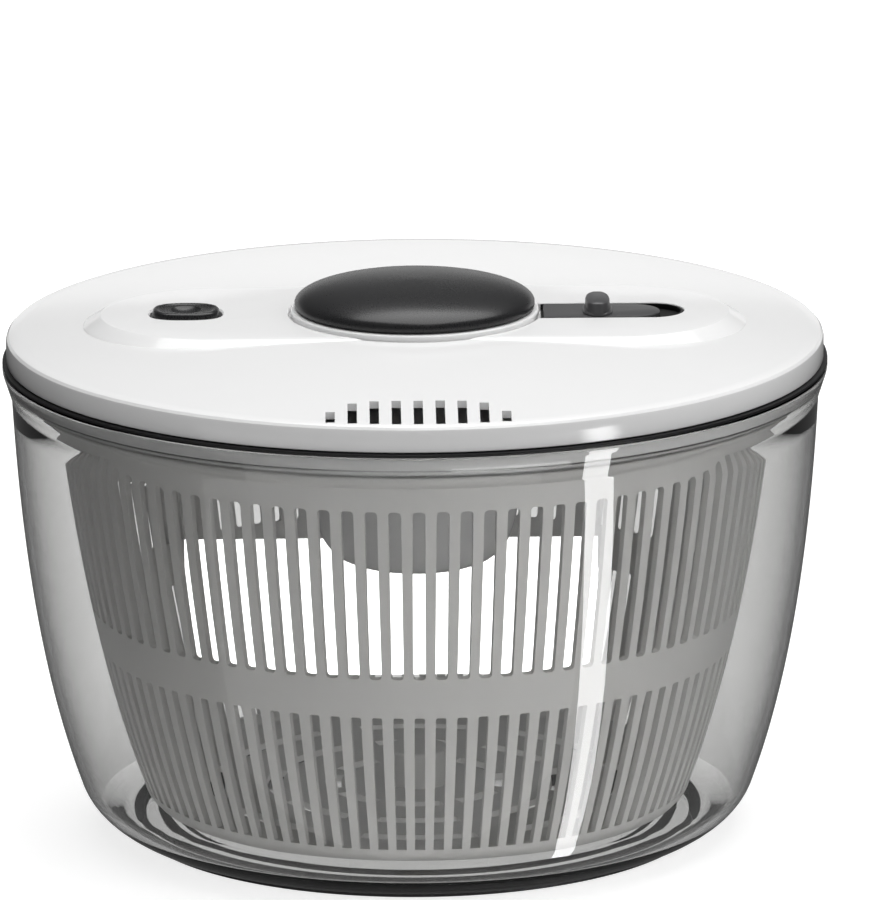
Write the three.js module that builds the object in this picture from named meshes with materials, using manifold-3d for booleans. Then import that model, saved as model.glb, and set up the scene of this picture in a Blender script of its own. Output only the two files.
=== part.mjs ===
// A press-pump salad spinner: a clear bowl, a slotted basket that turns on a post in the
// bowl, and a lid whose pump knob drives the basket through a twisted shaft and a clutch.
// Millimetres, +Z up. The origin is on the table under the middle of the bowl; the brake
// button is on the -X side of the lid, the latch on the +X side, the air vents at -Y.
import * as THREE from "three";
import { mergeVertices } from "three/addons/utils/BufferGeometryUtils.js";
import Module from "manifold-3d";

const wasm = await Module();
wasm.setup();

// ---------------------------------------------------------------- driving dimensions

// Fits
const SEAT_GAP = 0.3; // between a piece and the face it rests on
const RUNNING_GAP = 0.4; // beside a piece that turns or slides
const SWING_GAP = 0.8; // round the loose, unguided side of a turning piece

const CORNER_GRID = 1 / 1024; // a power of two, so that each multiple is held exactly

// Facets in a full turn
const WIDE_FACETS = 40; // bowl, lid, drive disc
const BASKET_FACETS = 48;
const KNOB_FACETS = 32;
const HUB_FACETS = 24; // pump, guide tube, dome
const SMALL_FACETS = 12; // bearings, washers, screws

// Bowl
const BOWL_HEIGHT = 145.3;
const BOWL_WALL = 2.2;
const BOWL_FOOT_RADIUS = 89.6;
const BOWL_SHOULDER_RADIUS = 104.1;
const BOWL_SHOULDER_HEIGHT = 16;
const BOWL_MOUTH_RADIUS = 123.2; // outside, just under the rim collar
const BOWL_BELLY = 19.5; // how far the wall bows out past its foot-to-mouth slope
const FOOT_LIFT = 1.2; // the bowl's own foot above the table
const FLOOR_RISE = 2; // the middle of the underside above the foot
const FOOT_LEDGE = 1.6; // of the foot inside the inner ring's groove
const FOOT_RAMP = 1.4; // run of the slope from the foot up to the underside
const COLLAR_HEIGHT = 11.5;
const COLLAR_FLARE = 2.8;
const RIM_WIDTH = 3.2; // top of the rim, outside the seal lip
const RIM_SEAT_DEPTH = 5.7; // how deep the seal and the lid's plug ring reach

// Non-slip rings under the bowl
const GRIP_RING_RADIUS = 88; // outside
const GRIP_RING_SPACING = 7.5; // from the outer ring in to the inner one
const GRIP_RING_WIDTH = 3;
const GRIP_RING_HEIGHT = 3.1;

// Pivot post and basket bearing
const POST_RADIUS = 5;
const POST_TOP = 18;
const BEARING_WALL = 2;

// Basket
const BASKET_FLOOR_Z = 9.5; // underside
const BASKET_FLOOR_RADIUS = 77; // flat part of the floor
const BASKET_WALL = 2;
const BASKET_FOOT = [84, 13]; // outside radius and height at the foot of the slots
const BASKET_BULGE = [100.5, 57]; // pull point of the wall's curve
const BASKET_DROP = 8.8; // from the top of the bowl's rim to the top of the basket's
const BASKET_ROOM = 14.2; // between the outsides of the bowl's mouth and the basket's
const BASKET_SHOULDER_DROP = 8.5; // from the top of the basket to its shoulder
const BASKET_RIM_REACH = 2; // of the rim beyond the shoulder
const BASKET_RIM_DEPTH = 2.6;
const RIB_INSET = 0.35; // of the ribs behind the bands' faces
const RIB_ROOT = 1; // how far a rib runs on into a band
const SLOTS_AROUND = 96;
const LOWER_SLOT_WIDTH = 3.1;
const UPPER_SLOT_WIDTH = 3.8;
const MID_BAND = [58.7, 71.3]; // bottom and top of the plain band between the two tiers
const TOP_BAND_DEPTH = 11.5; // from the top of the basket to where the upper slots end
const FLOOR_SLOT_ROWS = [26, 44, 62]; // middle radius of each row of arc slots in the floor
const FLOOR_SLOT_WIDTH = 5;
const FLOOR_SLOTS_AROUND = 8;
const FLOOR_SLOT_SHARE = 0.72; // of each slot's turn that is open

// Lid
const LID_REACH = 1.6; // of the lid beyond the bowl's mouth
const LID_WALL = 2.2;
const SKIRT_HEIGHT = 7.7;
const SKIRT_WALL = 2.2;
const LID_EDGE_ROUND = 1.8;
const CROWN_RISE = 5.5;
const PLATEAU_HALF_LENGTH = 96;
const PLATEAU_HALF_WIDTH = 34.5;
const PLATEAU_SLOPE = 3; // run of the sloping side of the plateau
const SEAL_HEIGHT = 1;
const SEAL_LIP = 1.5; // thickness of the lip that hangs inside the bowl's rim
const SEAL_LIP_ROOM = 4.6; // from the lip's foot to the bottom of the rim's seat
const PLUG_WALL = 2;
const PLUG_REACH = 3.2; // how much further than the seal lip the plug ring reaches

// Vents in the lid
const VENT_COUNT = 9;
const VENT_PITCH = 6.5;
const VENT_WIDTH = 2.75;
const VENT_MARGIN = 3.2; // from the vents' outer ends to the lid's edge
const VENT_REACH = 21.9; // length of the middle vent
const VENT_FADE = 0.25; // pitches from the outermost vents to where their length would be nothing
const VENT_SQUARENESS = 3.6; // of the curve that the vents' inner ends follow

// Knob
const KNOB_RADIUS = 36.65;
const KNOB_HEIGHT = 8.6;
const KNOB_WALL = 2.2;
const KNOB_TRAVEL = 30; // from latched down to fully up
const FLANGE_RADIUS = 37.9;
const FLANGE_THICKNESS = 2.5;
const FLANGE_STANDS_OUT = 1.3; // of the flange above the lid
const WELL_ROOM = 0.6; // between the flange and the side of its well
const NECK_RADIUS = 25;
const NECK_WALL = 2;
const NECK_HOLD = 28.7; // length of the neck still in the guide tube when the knob is up
const NECK_KEYS = 4;
const KEY_WIDTH = 2.6;
const KEY_DEPTH = 1;
const GUIDE_WALL = 3.2;
const GUIDE_LENGTH = 46;

// Twisted shaft, clutch and dome
const SHAFT_WIDTH = 12;
const SHAFT_THICKNESS = 4.6;
const SHAFT_LEAD = 40; // travel for one full turn
const TWIST_FACETS = 24; // in one full turn
const TWIST_GAP = 0.5; // beside the shaft in the nut's slot
const SHAFT_HOLD = 0.5; // length of the shaft still in the nut when the knob is up
const SHAFT_FOOT_ROOM = 2.6; // from the dome's floor to the shaft when the knob is down
const SHAFT_COLLAR_RADIUS = 6.7;
const SHAFT_COLLAR_HEIGHT = 6.5;
const DOME_RADIUS = 31.2; // outside, above the rounded tip
const DOME_WALL = 2;
const DOME_FLOOR = 2.4;
const DOME_TIP_RADIUS = 20;
const DOME_FLARE = 2.6; // how much wider the dome is at its root
const TOWER_RADIUS = 21.2;
const TOWER_WALL = 2;
const TOOTH_COUNT = 8;
const TOOTH_HEIGHT = 1.4;
const TOOTH_RADII = [10, 16.8];
const NUT_RADIUS = 18.4;
const NUT_HEIGHT = 11.8; // with its teeth
const WASHER_THICKNESS = 1;
const CAP_THICKNESS = 3;
const RETURN_SPRING_RADIUS = 14;
const RETURN_SPRING_WIRE = 1.4;
const RETURN_SPRING_TURNS = 7;

// Drive disc and its bearing ring
const DISC_DROP = 3.9; // from the top of the bowl's rim to the top of the disc
const DISC_THICKNESS = 2;
const HUB_LEDGE = 2.5; // how far the disc's hub hangs below the disc
const HUB_WALL = 4.5;
const DISC_RIM_REACH = 1; // of the disc's rim beyond the basket's
const DISC_RIM_THICKNESS = 1.6;
const KEY_RING_INSET = 3.5; // of the ring of notches inside the basket's wall
const KEY_RING_DEPTH = 8.4;
const DRIVE_KEYS = 8;
const DRIVE_KEY_WIDTH = 5.2;
const STIFFENER_RADIUS = 60.5;
const BEARING_RING_HEIGHT = 2.2;
const BEARING_RING_REACH = 2.4; // of the ring beyond the guide tube
const BEARING_RING_BITE = 1.2; // depth of its groove in the guide tube
const BEARING_RING_SPLIT = 12; // width of its opening
const HOOKS = 4;
const HOOK_RADIUS = 36.5;
const HOOK_WIDTH = 10;

// Latch
const LATCH_RECESS_END = 82.3; // outer end, from the knob's axis
const LATCH_RECESS_HALF_WIDTH = 9.9;
const LATCH_RECESS_BREAK = 0.2; // of the recess into the knob's well
const LATCH_RECESS_DEPTH = 2.7;
const LATCH_LINER = 0.7; // thickness of the tray that lines the recess
const LATCH_LINER_DROP = 0.2; // from the lid's top to the tray's edge
const LATCH_SLIDE_END = 74.9;
const LATCH_SLIDE_INSET = 1; // from the recess's inner end to the slide
const LATCH_TRAVEL = 6;
const GRIP_X = 55.8;
const GRIP_LENGTH = 7.6;
const GRIP_HEIGHT = 4.1;
const GRIP_FOOT_REACH = 0.8; // of the step round the grip's foot
const GRIP_FOOT_HEIGHT = 1;
const GRIP_ROOT = 0.6; // how far the grip is sunk into the slide
const BOLT_HALF_WIDTH = 3.6;
const BOLT_THICKNESS = 3.2;
const BOLT_DROP = 2.6; // of the bolt below the bottom of the recess
const LATCH_POST = 3; // side of the square post that joins the slide and the bolt
const LATCH_RAIL_STOP = 8; // from the bolt's rails to the outer end of the recess

// Brake
const BRAKE_X = -69.8;
const BRAKE_HALF_LENGTH = 10.5;
const BRAKE_HALF_WIDTH = 8.25;
const BRAKE_STANDS_OUT = 1.6;
const BRAKE_BUTTON_HEIGHT = 6.2;
const BRAKE_TRAVEL = 3;
const BRAKE_STEM_RADIUS = 3;
const BRAKE_PAD_RADIUS = 6.5;
const BRAKE_PAD_HEIGHT = 5.9;
const BRAKE_SPRING_RADIUS = 4.7;
const BRAKE_SPRING_WIRE = 0.8;
const BRAKE_SPRING_TURNS = 3;

// ------------------------------------------------------------------- places that follow

const bowlFloorUnder = FOOT_LIFT + FLOOR_RISE;
const bowlFloorTop = bowlFloorUnder + BOWL_WALL;
const innerRingRadius = GRIP_RING_RADIUS - GRIP_RING_SPACING;
const collarBase = BOWL_HEIGHT - COLLAR_HEIGHT;
const collarRadius = BOWL_MOUTH_RADIUS + COLLAR_FLARE;
const seatRadius = collarRadius - RIM_WIDTH;
const sealBottom = BOWL_HEIGHT + SEAT_GAP;
const skirtBottom = sealBottom + SEAL_HEIGHT + SEAT_GAP;
const sealLipInner = seatRadius - RUNNING_GAP - SEAL_LIP;
const sealLipBottom = BOWL_HEIGHT - RIM_SEAT_DEPTH + SEAL_LIP_ROOM;
const plugRadius = sealLipInner - SEAT_GAP;
const plugBottom = sealLipBottom - PLUG_REACH;
const lidRadius = BOWL_MOUTH_RADIUS + LID_REACH;
const lidEdgeZ = skirtBottom + SKIRT_HEIGHT;
const lidTop = lidEdgeZ + CROWN_RISE;
const lidUnder = lidTop - LID_WALL;
const flangeTop = lidTop + FLANGE_STANDS_OUT;
const flangeBottom = flangeTop - FLANGE_THICKNESS;
const wellFloor = flangeBottom - SEAT_GAP;
const wellRadius = FLANGE_RADIUS + WELL_ROOM;
const guideBore = NECK_RADIUS + RUNNING_GAP;
const guideRadius = guideBore + GUIDE_WALL;
const guideBottom = wellFloor - GUIDE_LENGTH;
const neckBottom = wellFloor - KNOB_TRAVEL - NECK_HOLD;
const discTop = BOWL_HEIGHT - DISC_DROP;
const discUnder = discTop - DISC_THICKNESS;
const hubLedgeBottom = discUnder - HUB_LEDGE;
const hubBore = guideRadius + RUNNING_GAP;
const hubRadius = hubBore + HUB_WALL;
const bearingRingTop = hubLedgeBottom - SEAT_GAP;
const bearingRingBottom = bearingRingTop - BEARING_RING_HEIGHT;
const bearingRingInner = guideRadius - BEARING_RING_BITE + SEAT_GAP;
const bearingRingOuter = guideRadius + BEARING_RING_REACH;
const domeRootInner = bearingRingOuter + SWING_GAP;
const towerBore = TOWER_RADIUS - TOWER_WALL;
const basketTop = BOWL_HEIGHT - BASKET_DROP;
const basketShoulder = [BOWL_MOUTH_RADIUS - BASKET_ROOM, basketTop - BASKET_SHOULDER_DROP];
const basketRimRadius = basketShoulder[0] + BASKET_RIM_REACH;
const basketRimUnder = basketTop - BASKET_RIM_DEPTH;
const topBandZ = basketTop - TOP_BAND_DEPTH;
const discRimRadius = basketRimRadius + DISC_RIM_REACH;
const keyRingRadius = basketShoulder[0] - BASKET_WALL - KEY_RING_INSET;
const recessFloor = lidTop - LATCH_RECESS_DEPTH;
const boltTop = recessFloor - LID_WALL - BOLT_DROP;
const boltBottom = boltTop - BOLT_THICKNESS;

// ------------------------------------------------------------------------ solid helpers

// The corners and triangles of a closed mesh. Corners are rounded to a fixed grid, so that
// faces meant to be level with each other are exactly so, and those that meet are joined.
function weld(geometry) {
  const bare = geometry.index ? geometry.toNonIndexed() : geometry.clone();
  bare.deleteAttribute("normal");
  bare.deleteAttribute("uv");
  const places = bare.attributes.position.array;
  places.forEach((value, i) => {
    places[i] = Math.round(value / CORNER_GRID) * CORNER_GRID;
  });
  const merged = mergeVertices(bare, CORNER_GRID / 2);
  const corners = merged.index.array;
  const triangles = [];
  for (let i = 0; i < corners.length; i += 3) {
    const [a, b, c] = [corners[i], corners[i + 1], corners[i + 2]];
    if (a !== b && b !== c && c !== a) triangles.push(a, b, c);
  }
  return { places: merged.attributes.position.array, triangles: new Uint32Array(triangles) };
}

// A closed three.js geometry as a solid that can be joined and cut.
function solidOf(geometry) {
  const { places, triangles } = weld(geometry);
  return new wasm.Manifold(
    new wasm.Mesh({ numProp: 3, vertProperties: places, triVerts: triangles }),
  );
}

// A solid turned about Z from a closed outline of [radius, height] corners.
function revolve(outline, facets) {
  const corners = outline.map(([radius, height]) => new THREE.Vector2(radius, height));
  if (THREE.ShapeUtils.area(corners) < 0) corners.reverse();
  corners.push(corners[0].clone());
  const lathe = new THREE.LatheGeometry(corners, facets);
  lathe.rotateX(Math.PI / 2);
  return solidOf(lathe);
}

function cylinder(radius, bottom, top, facets = SMALL_FACETS) {
  return revolve([[0, bottom], [radius, bottom], [radius, top], [0, top]], facets);
}

function tube(inner, outer, bottom, top, facets = SMALL_FACETS) {
  return revolve([[inner, bottom], [outer, bottom], [outer, top], [inner, top]], facets);
}

function block([x0, x1], [y0, y1], [z0, z1]) {
  const box = new THREE.BoxGeometry(x1 - x0, y1 - y0, z1 - z0);
  box.translate((x0 + x1) / 2, (y0 + y1) / 2, (z0 + z1) / 2);
  return solidOf(box);
}

// A flat outline raised from one height to another, its sides sloping in by slope.
function raise(shape, bottom, top, slope = 0) {
  const depth = slope ? (top - bottom) / 2 : top - bottom;
  const plate = new THREE.ExtrudeGeometry(shape, {
    depth,
    bevelEnabled: slope > 0,
    bevelSegments: 1,
    bevelThickness: top - bottom - depth,
    bevelSize: slope,
    bevelOffset: -slope,
    curveSegments: 5,
  });
  plate.translate(0, 0, bottom);
  return solidOf(plate);
}

// Copies of a solid about Z, joined, with the first one at the angle start.
function around(count, solid, start = 0) {
  let ring;
  for (let i = 0; i < count; i += 1) {
    const copy = solid.rotate([0, 0, start + (360 * i) / count]);
    ring = ring ? ring.add(copy) : copy;
  }
  return ring;
}

// A box that lies along +X, ready for around().
function spoke(inner, outer, width, bottom, top) {
  return block([inner, outer], [-width / 2, width / 2], [bottom, top]);
}

// The points of a smooth bend from one [radius, height] to another.
function bend(from, pull, to, steps) {
  const curve = new THREE.QuadraticBezierCurve(
    new THREE.Vector2(...from),
    new THREE.Vector2(...pull),
    new THREE.Vector2(...to),
  );
  return curve.getPoints(steps).map((point) => [point.x, point.y]);
}

// The same line moved sideways by distance, to the left of its direction.
function offset(points, distance) {
  return points.map(([radius, height], i) => {
    const before = points[Math.max(i - 1, 0)];
    const after = points[Math.min(i + 1, points.length - 1)];
    const along = new THREE.Vector2(after[0] - before[0], after[1] - before[1]).normalize();
    return [radius - along.y * distance, height + along.x * distance];
  });
}

// A long shape with round ends, or with one square end on the left.
function stadium(x0, x1, halfWidth, squareStart = false) {
  const shape = new THREE.Shape();
  shape.absarc(x1 - halfWidth, 0, halfWidth, -Math.PI / 2, Math.PI / 2);
  if (squareStart) {
    shape.lineTo(x0, halfWidth);
    shape.lineTo(x0, -halfWidth);
  } else {
    shape.absarc(x0 + halfWidth, 0, halfWidth, Math.PI / 2, (3 * Math.PI) / 2);
  }
  return shape;
}

// A rounded oblong, between an ellipse and a rectangle.
function oblong(centreX, halfLength, halfWidth) {
  const corners = 24;
  const squareness = 2.7;
  const points = [];
  for (let i = 0; i < corners; i += 1) {
    const turn = (2 * Math.PI * i) / corners;
    const x = Math.sign(Math.cos(turn)) * Math.abs(Math.cos(turn)) ** (2 / squareness);
    const y = Math.sign(Math.sin(turn)) * Math.abs(Math.sin(turn)) ** (2 / squareness);
    points.push(new THREE.Vector2(centreX + halfLength * x, halfWidth * y));
  }
  return new THREE.Shape(points);
}

// A coil spring that stands between two heights.
function coil(centreX, radius, wire, turns, bottom, top) {
  class Helix extends THREE.Curve {
    getPoint(share, target = new THREE.Vector3()) {
      const turn = 2 * Math.PI * turns * share;
      const height = bottom + wire / 2 + (top - bottom - wire) * share;
      return target.set(centreX + radius * Math.cos(turn), radius * Math.sin(turn), height);
    }
  }
  const section = new THREE.Shape();
  section.absarc(0, 0, wire / 2, 0, 2 * Math.PI);
  const wound = new THREE.ExtrudeGeometry(section, {
    steps: Math.round(turns * 8),
    curveSegments: 2,
    extrudePath: new Helix(),
  });
  return solidOf(wound);
}

// A flat bar twisted about Z, as on the pump's shaft.
function twistedBar(width, thickness, bottom, top, phaseHeight) {
  const section = new THREE.Shape();
  section.moveTo(-width / 2, -thickness / 2);
  section.lineTo(0, -thickness / 2);
  section.lineTo(width / 2, -thickness / 2);
  section.lineTo(width / 2, thickness / 2);
  section.lineTo(0, thickness / 2);
  section.lineTo(-width / 2, thickness / 2);
  const steps = Math.ceil(((top - bottom) / SHAFT_LEAD) * TWIST_FACETS);
  const bar = new THREE.ExtrudeGeometry(section, {
    depth: top - bottom,
    steps,
    bevelEnabled: false,
  });
  bar.translate(0, 0, bottom);
  const corner = bar.attributes.position;
  for (let i = 0; i < corner.count; i += 1) {
    const turn = (2 * Math.PI * (corner.getZ(i) - phaseHeight)) / SHAFT_LEAD;
    const [x, y] = [corner.getX(i), corner.getY(i)];
    corner.setX(i, x * Math.cos(turn) - y * Math.sin(turn));
    corner.setY(i, x * Math.sin(turn) + y * Math.cos(turn));
  }
  return solidOf(bar);
}

// A ring of saw teeth that stand on a flat face, or hang from it when drop is set.
function sawTeeth(inner, outer, face, drop) {
  const pitch = (2 * Math.PI) / TOOTH_COUNT;
  const flank = new THREE.Shape();
  const halfLength = ((inner + outer) / 2) * Math.sin(pitch / 2) * 0.84;
  const height = drop ? -TOOTH_HEIGHT : TOOTH_HEIGHT;
  const root = drop ? 0.4 : -0.4;
  flank.moveTo(-halfLength, root);
  flank.lineTo(halfLength, root);
  flank.lineTo(halfLength, 0);
  flank.lineTo(drop ? halfLength : -halfLength, height);
  flank.lineTo(-halfLength, 0);
  const tooth = new THREE.ExtrudeGeometry(flank, { depth: outer - inner, bevelEnabled: false });
  tooth.rotateX(Math.PI / 2);
  tooth.translate(0, outer, face);
  tooth.rotateZ(-Math.PI / 2);
  return around(TOOTH_COUNT, solidOf(tooth));
}

const spinner = new THREE.Group();

// Puts a finished solid into the model as a named mesh with its own material.
function addPart(name, solid, finish) {
  const { vertProperties, triVerts } = solid.getMesh();
  const cut = new THREE.BufferGeometry();
  cut.setAttribute("position", new THREE.BufferAttribute(vertProperties, 3));
  cut.setIndex(new THREE.BufferAttribute(triVerts, 1));
  const { places, triangles } = weld(cut);
  const geometry = new THREE.BufferGeometry();
  geometry.setAttribute("position", new THREE.BufferAttribute(places, 3));
  geometry.setIndex(new THREE.BufferAttribute(triangles, 1));
  geometry.computeVertexNormals();
  const mesh = new THREE.Mesh(geometry, new THREE.MeshStandardMaterial(finish));
  mesh.name = name;
  spinner.add(mesh);
}

// ---------------------------------------------------------------------------- materials

const SMOKY_CLEAR = { color: 0x9a9c9e, roughness: 0.05, metalness: 0, transparent: true, opacity: 0.45 };
const WHITE_GLOSS = { color: 0xf3f3f3, roughness: 0.18, metalness: 0 };
const WHITE_SATIN = { color: 0xe9e9e6, roughness: 0.42, metalness: 0 };
const BLACK_SATIN = { color: 0x17171a, roughness: 0.4, metalness: 0 };
const DARK_GREY = { color: 0x4a4a4c, roughness: 0.45, metalness: 0 };
const BLACK_RUBBER = { color: 0x1b1b1d, roughness: 0.7, metalness: 0 };
const NATURAL_POM = { color: 0xe6e3d8, roughness: 0.35, metalness: 0 };
const STEEL = { color: 0xb9bcc0, roughness: 0.3, metalness: 1 };

// --------------------------------------------------------------------------------- bowl

// Outside of the bowl from the foot, round the corner and up the bowed wall.
const cornerPull = [BOWL_SHOULDER_RADIUS - 2.9, FOOT_LIFT + 4.8];
const wallPull = [
  BOWL_MOUTH_RADIUS - 3.7,
  BOWL_SHOULDER_HEIGHT + (collarBase - BOWL_SHOULDER_HEIGHT) / 2 - BOWL_BELLY + 4,
];
const bowlCorner = bend(
  [BOWL_FOOT_RADIUS, FOOT_LIFT],
  cornerPull,
  [BOWL_SHOULDER_RADIUS, BOWL_SHOULDER_HEIGHT],
  3,
);
const bowlWall = bend(
  [BOWL_SHOULDER_RADIUS, BOWL_SHOULDER_HEIGHT],
  wallPull,
  [BOWL_MOUTH_RADIUS, collarBase],
  4,
);
const bowlOutside = [...bowlCorner, ...bowlWall.slice(1)];
const bowlInside = offset(bowlOutside, BOWL_WALL).filter(([, height]) => height > bowlFloorTop + 1);
const bowlFloorRadius = bowlInside[0][0] - 6;
const footInner = innerRingRadius - GRIP_RING_WIDTH - SEAT_GAP - FOOT_LEDGE;

// Outline of the groove that holds a non-slip ring, from its inner side to its outer one.
function grooveOutline(ringRadius) {
  const inner = ringRadius - GRIP_RING_WIDTH - SEAT_GAP;
  const outer = ringRadius + SEAT_GAP;
  const top = GRIP_RING_HEIGHT + SEAT_GAP;
  return [[inner, FOOT_LIFT], [inner, top], [outer, top], [outer, FOOT_LIFT]];
}

const bowl = revolve(
  [
    [0, bowlFloorUnder],
    [footInner - FOOT_RAMP, bowlFloorUnder],
    [footInner, FOOT_LIFT],
    ...grooveOutline(innerRingRadius),
    ...grooveOutline(GRIP_RING_RADIUS),
    ...bowlOutside,
    [BOWL_MOUTH_RADIUS, collarBase + 1.4],
    [collarRadius, BOWL_HEIGHT - 1.4],
    [collarRadius - 0.6, BOWL_HEIGHT],
    [seatRadius, BOWL_HEIGHT],
    [seatRadius, BOWL_HEIGHT - RIM_SEAT_DEPTH],
    [BOWL_MOUTH_RADIUS - BOWL_WALL, BOWL_HEIGHT - RIM_SEAT_DEPTH - 1],
    ...bowlInside.reverse(),
    [bowlFloorRadius, bowlFloorTop],
    [0, bowlFloorTop],
  ],
  WIDE_FACETS,
);
const pivotPost = revolve(
  [
    [0, bowlFloorUnder + 1],
    [POST_RADIUS + 2, bowlFloorTop - 0.5],
    [POST_RADIUS, bowlFloorTop + 1.8],
    [POST_RADIUS, POST_TOP - 0.8],
    [POST_RADIUS - 0.8, POST_TOP],
    [0, POST_TOP],
  ],
  SMALL_FACETS,
);
addPart("bowl", bowl.add(pivotPost), SMOKY_CLEAR);

function makeGripRing(radius) {
  return tube(radius - GRIP_RING_WIDTH, radius, 0, GRIP_RING_HEIGHT, WIDE_FACETS);
}
addPart("base_grip_ring", makeGripRing(GRIP_RING_RADIUS), BLACK_RUBBER);
addPart("inner_grip_ring", makeGripRing(innerRingRadius), BLACK_RUBBER);

// ------------------------------------------------------------------------------- basket

// Outside radius of the basket's wall at a height, on the same curve all the way up.
function basketRadius(height) {
  const [[, z0], [, z1], [, z2]] = [BASKET_FOOT, BASKET_BULGE, basketShoulder];
  const square = z0 - 2 * z1 + z2;
  const linear = 2 * (z1 - z0);
  const share = (-linear + Math.sqrt(linear ** 2 - 4 * square * (z0 - height))) / (2 * square);
  return (
    BASKET_FOOT[0] * (1 - share) ** 2 +
    BASKET_BULGE[0] * 2 * share * (1 - share) +
    basketShoulder[0] * share ** 2
  );
}

const bearingBore = POST_RADIUS + RUNNING_GAP;
const bearingRadius = bearingBore + BEARING_WALL;
const bearingTop = POST_TOP + SEAT_GAP + BEARING_WALL;
const bossBore = bearingRadius + RUNNING_GAP;
const bossTop = bearingTop + SEAT_GAP + BASKET_WALL;
const basketFloorTop = BASKET_FLOOR_Z + BASKET_WALL;

// A rib of the grille: a straight bar that leans with the wall, rooted in the bands below
// and above it, and that widens so that the slots beside it keep one width.
function makeRib([slotBottom, slotTop], slotWidth) {
  const bar = new THREE.BoxGeometry(1, 1, 1);
  const corner = bar.attributes.position;
  for (let i = 0; i < corner.count; i += 1) {
    const height = corner.getZ(i) > 0 ? slotTop + RIB_ROOT : slotBottom - RIB_ROOT;
    const outer = basketRadius(height) - RIB_INSET;
    const radius = corner.getX(i) > 0 ? outer : outer - BASKET_WALL + 1.5 * RIB_INSET;
    const halfWidth = (Math.PI * outer) / SLOTS_AROUND - slotWidth / 2;
    corner.setXYZ(i, radius, Math.sign(corner.getY(i)) * halfWidth, height);
  }
  return solidOf(bar);
}

// A plain band of the wall between two heights.
function makeBand(bottom, top) {
  const outline = [bottom, top].map((height) => [basketRadius(height), height]);
  const back = outline.map(([radius, height]) => [radius - BASKET_WALL, height]).reverse();
  return revolve([...outline, ...back], BASKET_FACETS);
}

function makeBasket() {
  const footTop = BASKET_FOOT[1];
  const pan = revolve(
    [
      [bossBore, BASKET_FLOOR_Z],
      [BASKET_FLOOR_RADIUS, BASKET_FLOOR_Z],
      [basketRadius(footTop) - 1.2, footTop - 2.2],
      [basketRadius(footTop), footTop],
      [basketRadius(footTop) - BASKET_WALL, footTop],
      [BASKET_FLOOR_RADIUS, basketFloorTop],
      [bossBore, basketFloorTop],
    ],
    BASKET_FACETS,
  );
  const rimRoot = basketRadius(basketRimUnder - 1);
  const rim = revolve(
    [
      [basketRadius(topBandZ), topBandZ],
      [rimRoot, basketRimUnder - 1],
      [basketRimRadius, basketRimUnder],
      [basketRimRadius, basketTop],
      [rimRoot - BASKET_WALL, basketTop],
      [basketRadius(topBandZ) - BASKET_WALL, topBandZ],
    ],
    BASKET_FACETS,
  );
  // Two tiers of upright slots, in line with each other, are the gaps between the ribs.
  const halfPitch = 180 / SLOTS_AROUND;
  const lowerRib = makeRib([footTop, MID_BAND[0]], LOWER_SLOT_WIDTH);
  const upperRib = makeRib([MID_BAND[1], topBandZ], UPPER_SLOT_WIDTH);
  let solid = pan
    .add(makeBand(...MID_BAND))
    .add(rim)
    .add(around(SLOTS_AROUND, lowerRib.add(upperRib), halfPitch));
  // Rows of arc slots in the floor, which leave spokes between them.
  for (const radius of FLOOR_SLOT_ROWS) {
    const openTurn = ((2 * Math.PI) / FLOOR_SLOTS_AROUND) * FLOOR_SLOT_SHARE;
    const arc = new THREE.Shape();
    arc.absarc(0, 0, radius + FLOOR_SLOT_WIDTH / 2, -openTurn / 2, openTurn / 2);
    arc.absarc(0, 0, radius - FLOOR_SLOT_WIDTH / 2, openTurn / 2, -openTurn / 2, true);
    const plate = new THREE.ExtrudeGeometry(arc, {
      depth: 2 * BASKET_WALL,
      bevelEnabled: false,
      curveSegments: 1,
    });
    plate.translate(0, 0, BASKET_FLOOR_Z - BASKET_WALL / 2);
    solid = solid.subtract(around(FLOOR_SLOTS_AROUND, solidOf(plate)));
  }
  // Hollow boss that drops over the bearing.
  const boss = revolve(
    [
      [bossBore, BASKET_FLOOR_Z],
      [bossBore + BASKET_WALL, BASKET_FLOOR_Z],
      [bossBore + BASKET_WALL, bossTop - 1],
      [bossBore + BASKET_WALL - 1, bossTop],
      [0, bossTop],
      [0, bossTop - BASKET_WALL],
      [bossBore, bossTop - BASKET_WALL],
    ],
    SMALL_FACETS,
  );
  solid = solid.add(boss);
  // Lugs inside the rim, which the drive disc's notches drop over.
  const lug = spoke(
    keyRingRadius - 2,
    basketRadius(basketShoulder[1]) - BASKET_WALL / 2,
    DRIVE_KEY_WIDTH,
    basketTop - 6.5,
    basketTop,
  );
  return solid.add(around(DRIVE_KEYS, lug));
}
addPart("basket", makeBasket(), WHITE_SATIN);

const bearing = revolve(
  [
    [bearingBore, BASKET_FLOOR_Z - 1.5],
    [bearingRadius, BASKET_FLOOR_Z - 1.5],
    [bearingRadius, bearingTop],
    [0, bearingTop],
    [0, bearingTop - BEARING_WALL],
    [bearingBore, bearingTop - BEARING_WALL],
  ],
  SMALL_FACETS,
);
addPart("basket_bearing", bearing, NATURAL_POM);

// --------------------------------------------------------------------------- lid casing

// Height of the lid's domed top at a radius.
function crownHeight(radius) {
  return lidEdgeZ + CROWN_RISE * (1 - (radius / lidRadius) ** 2);
}

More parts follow.
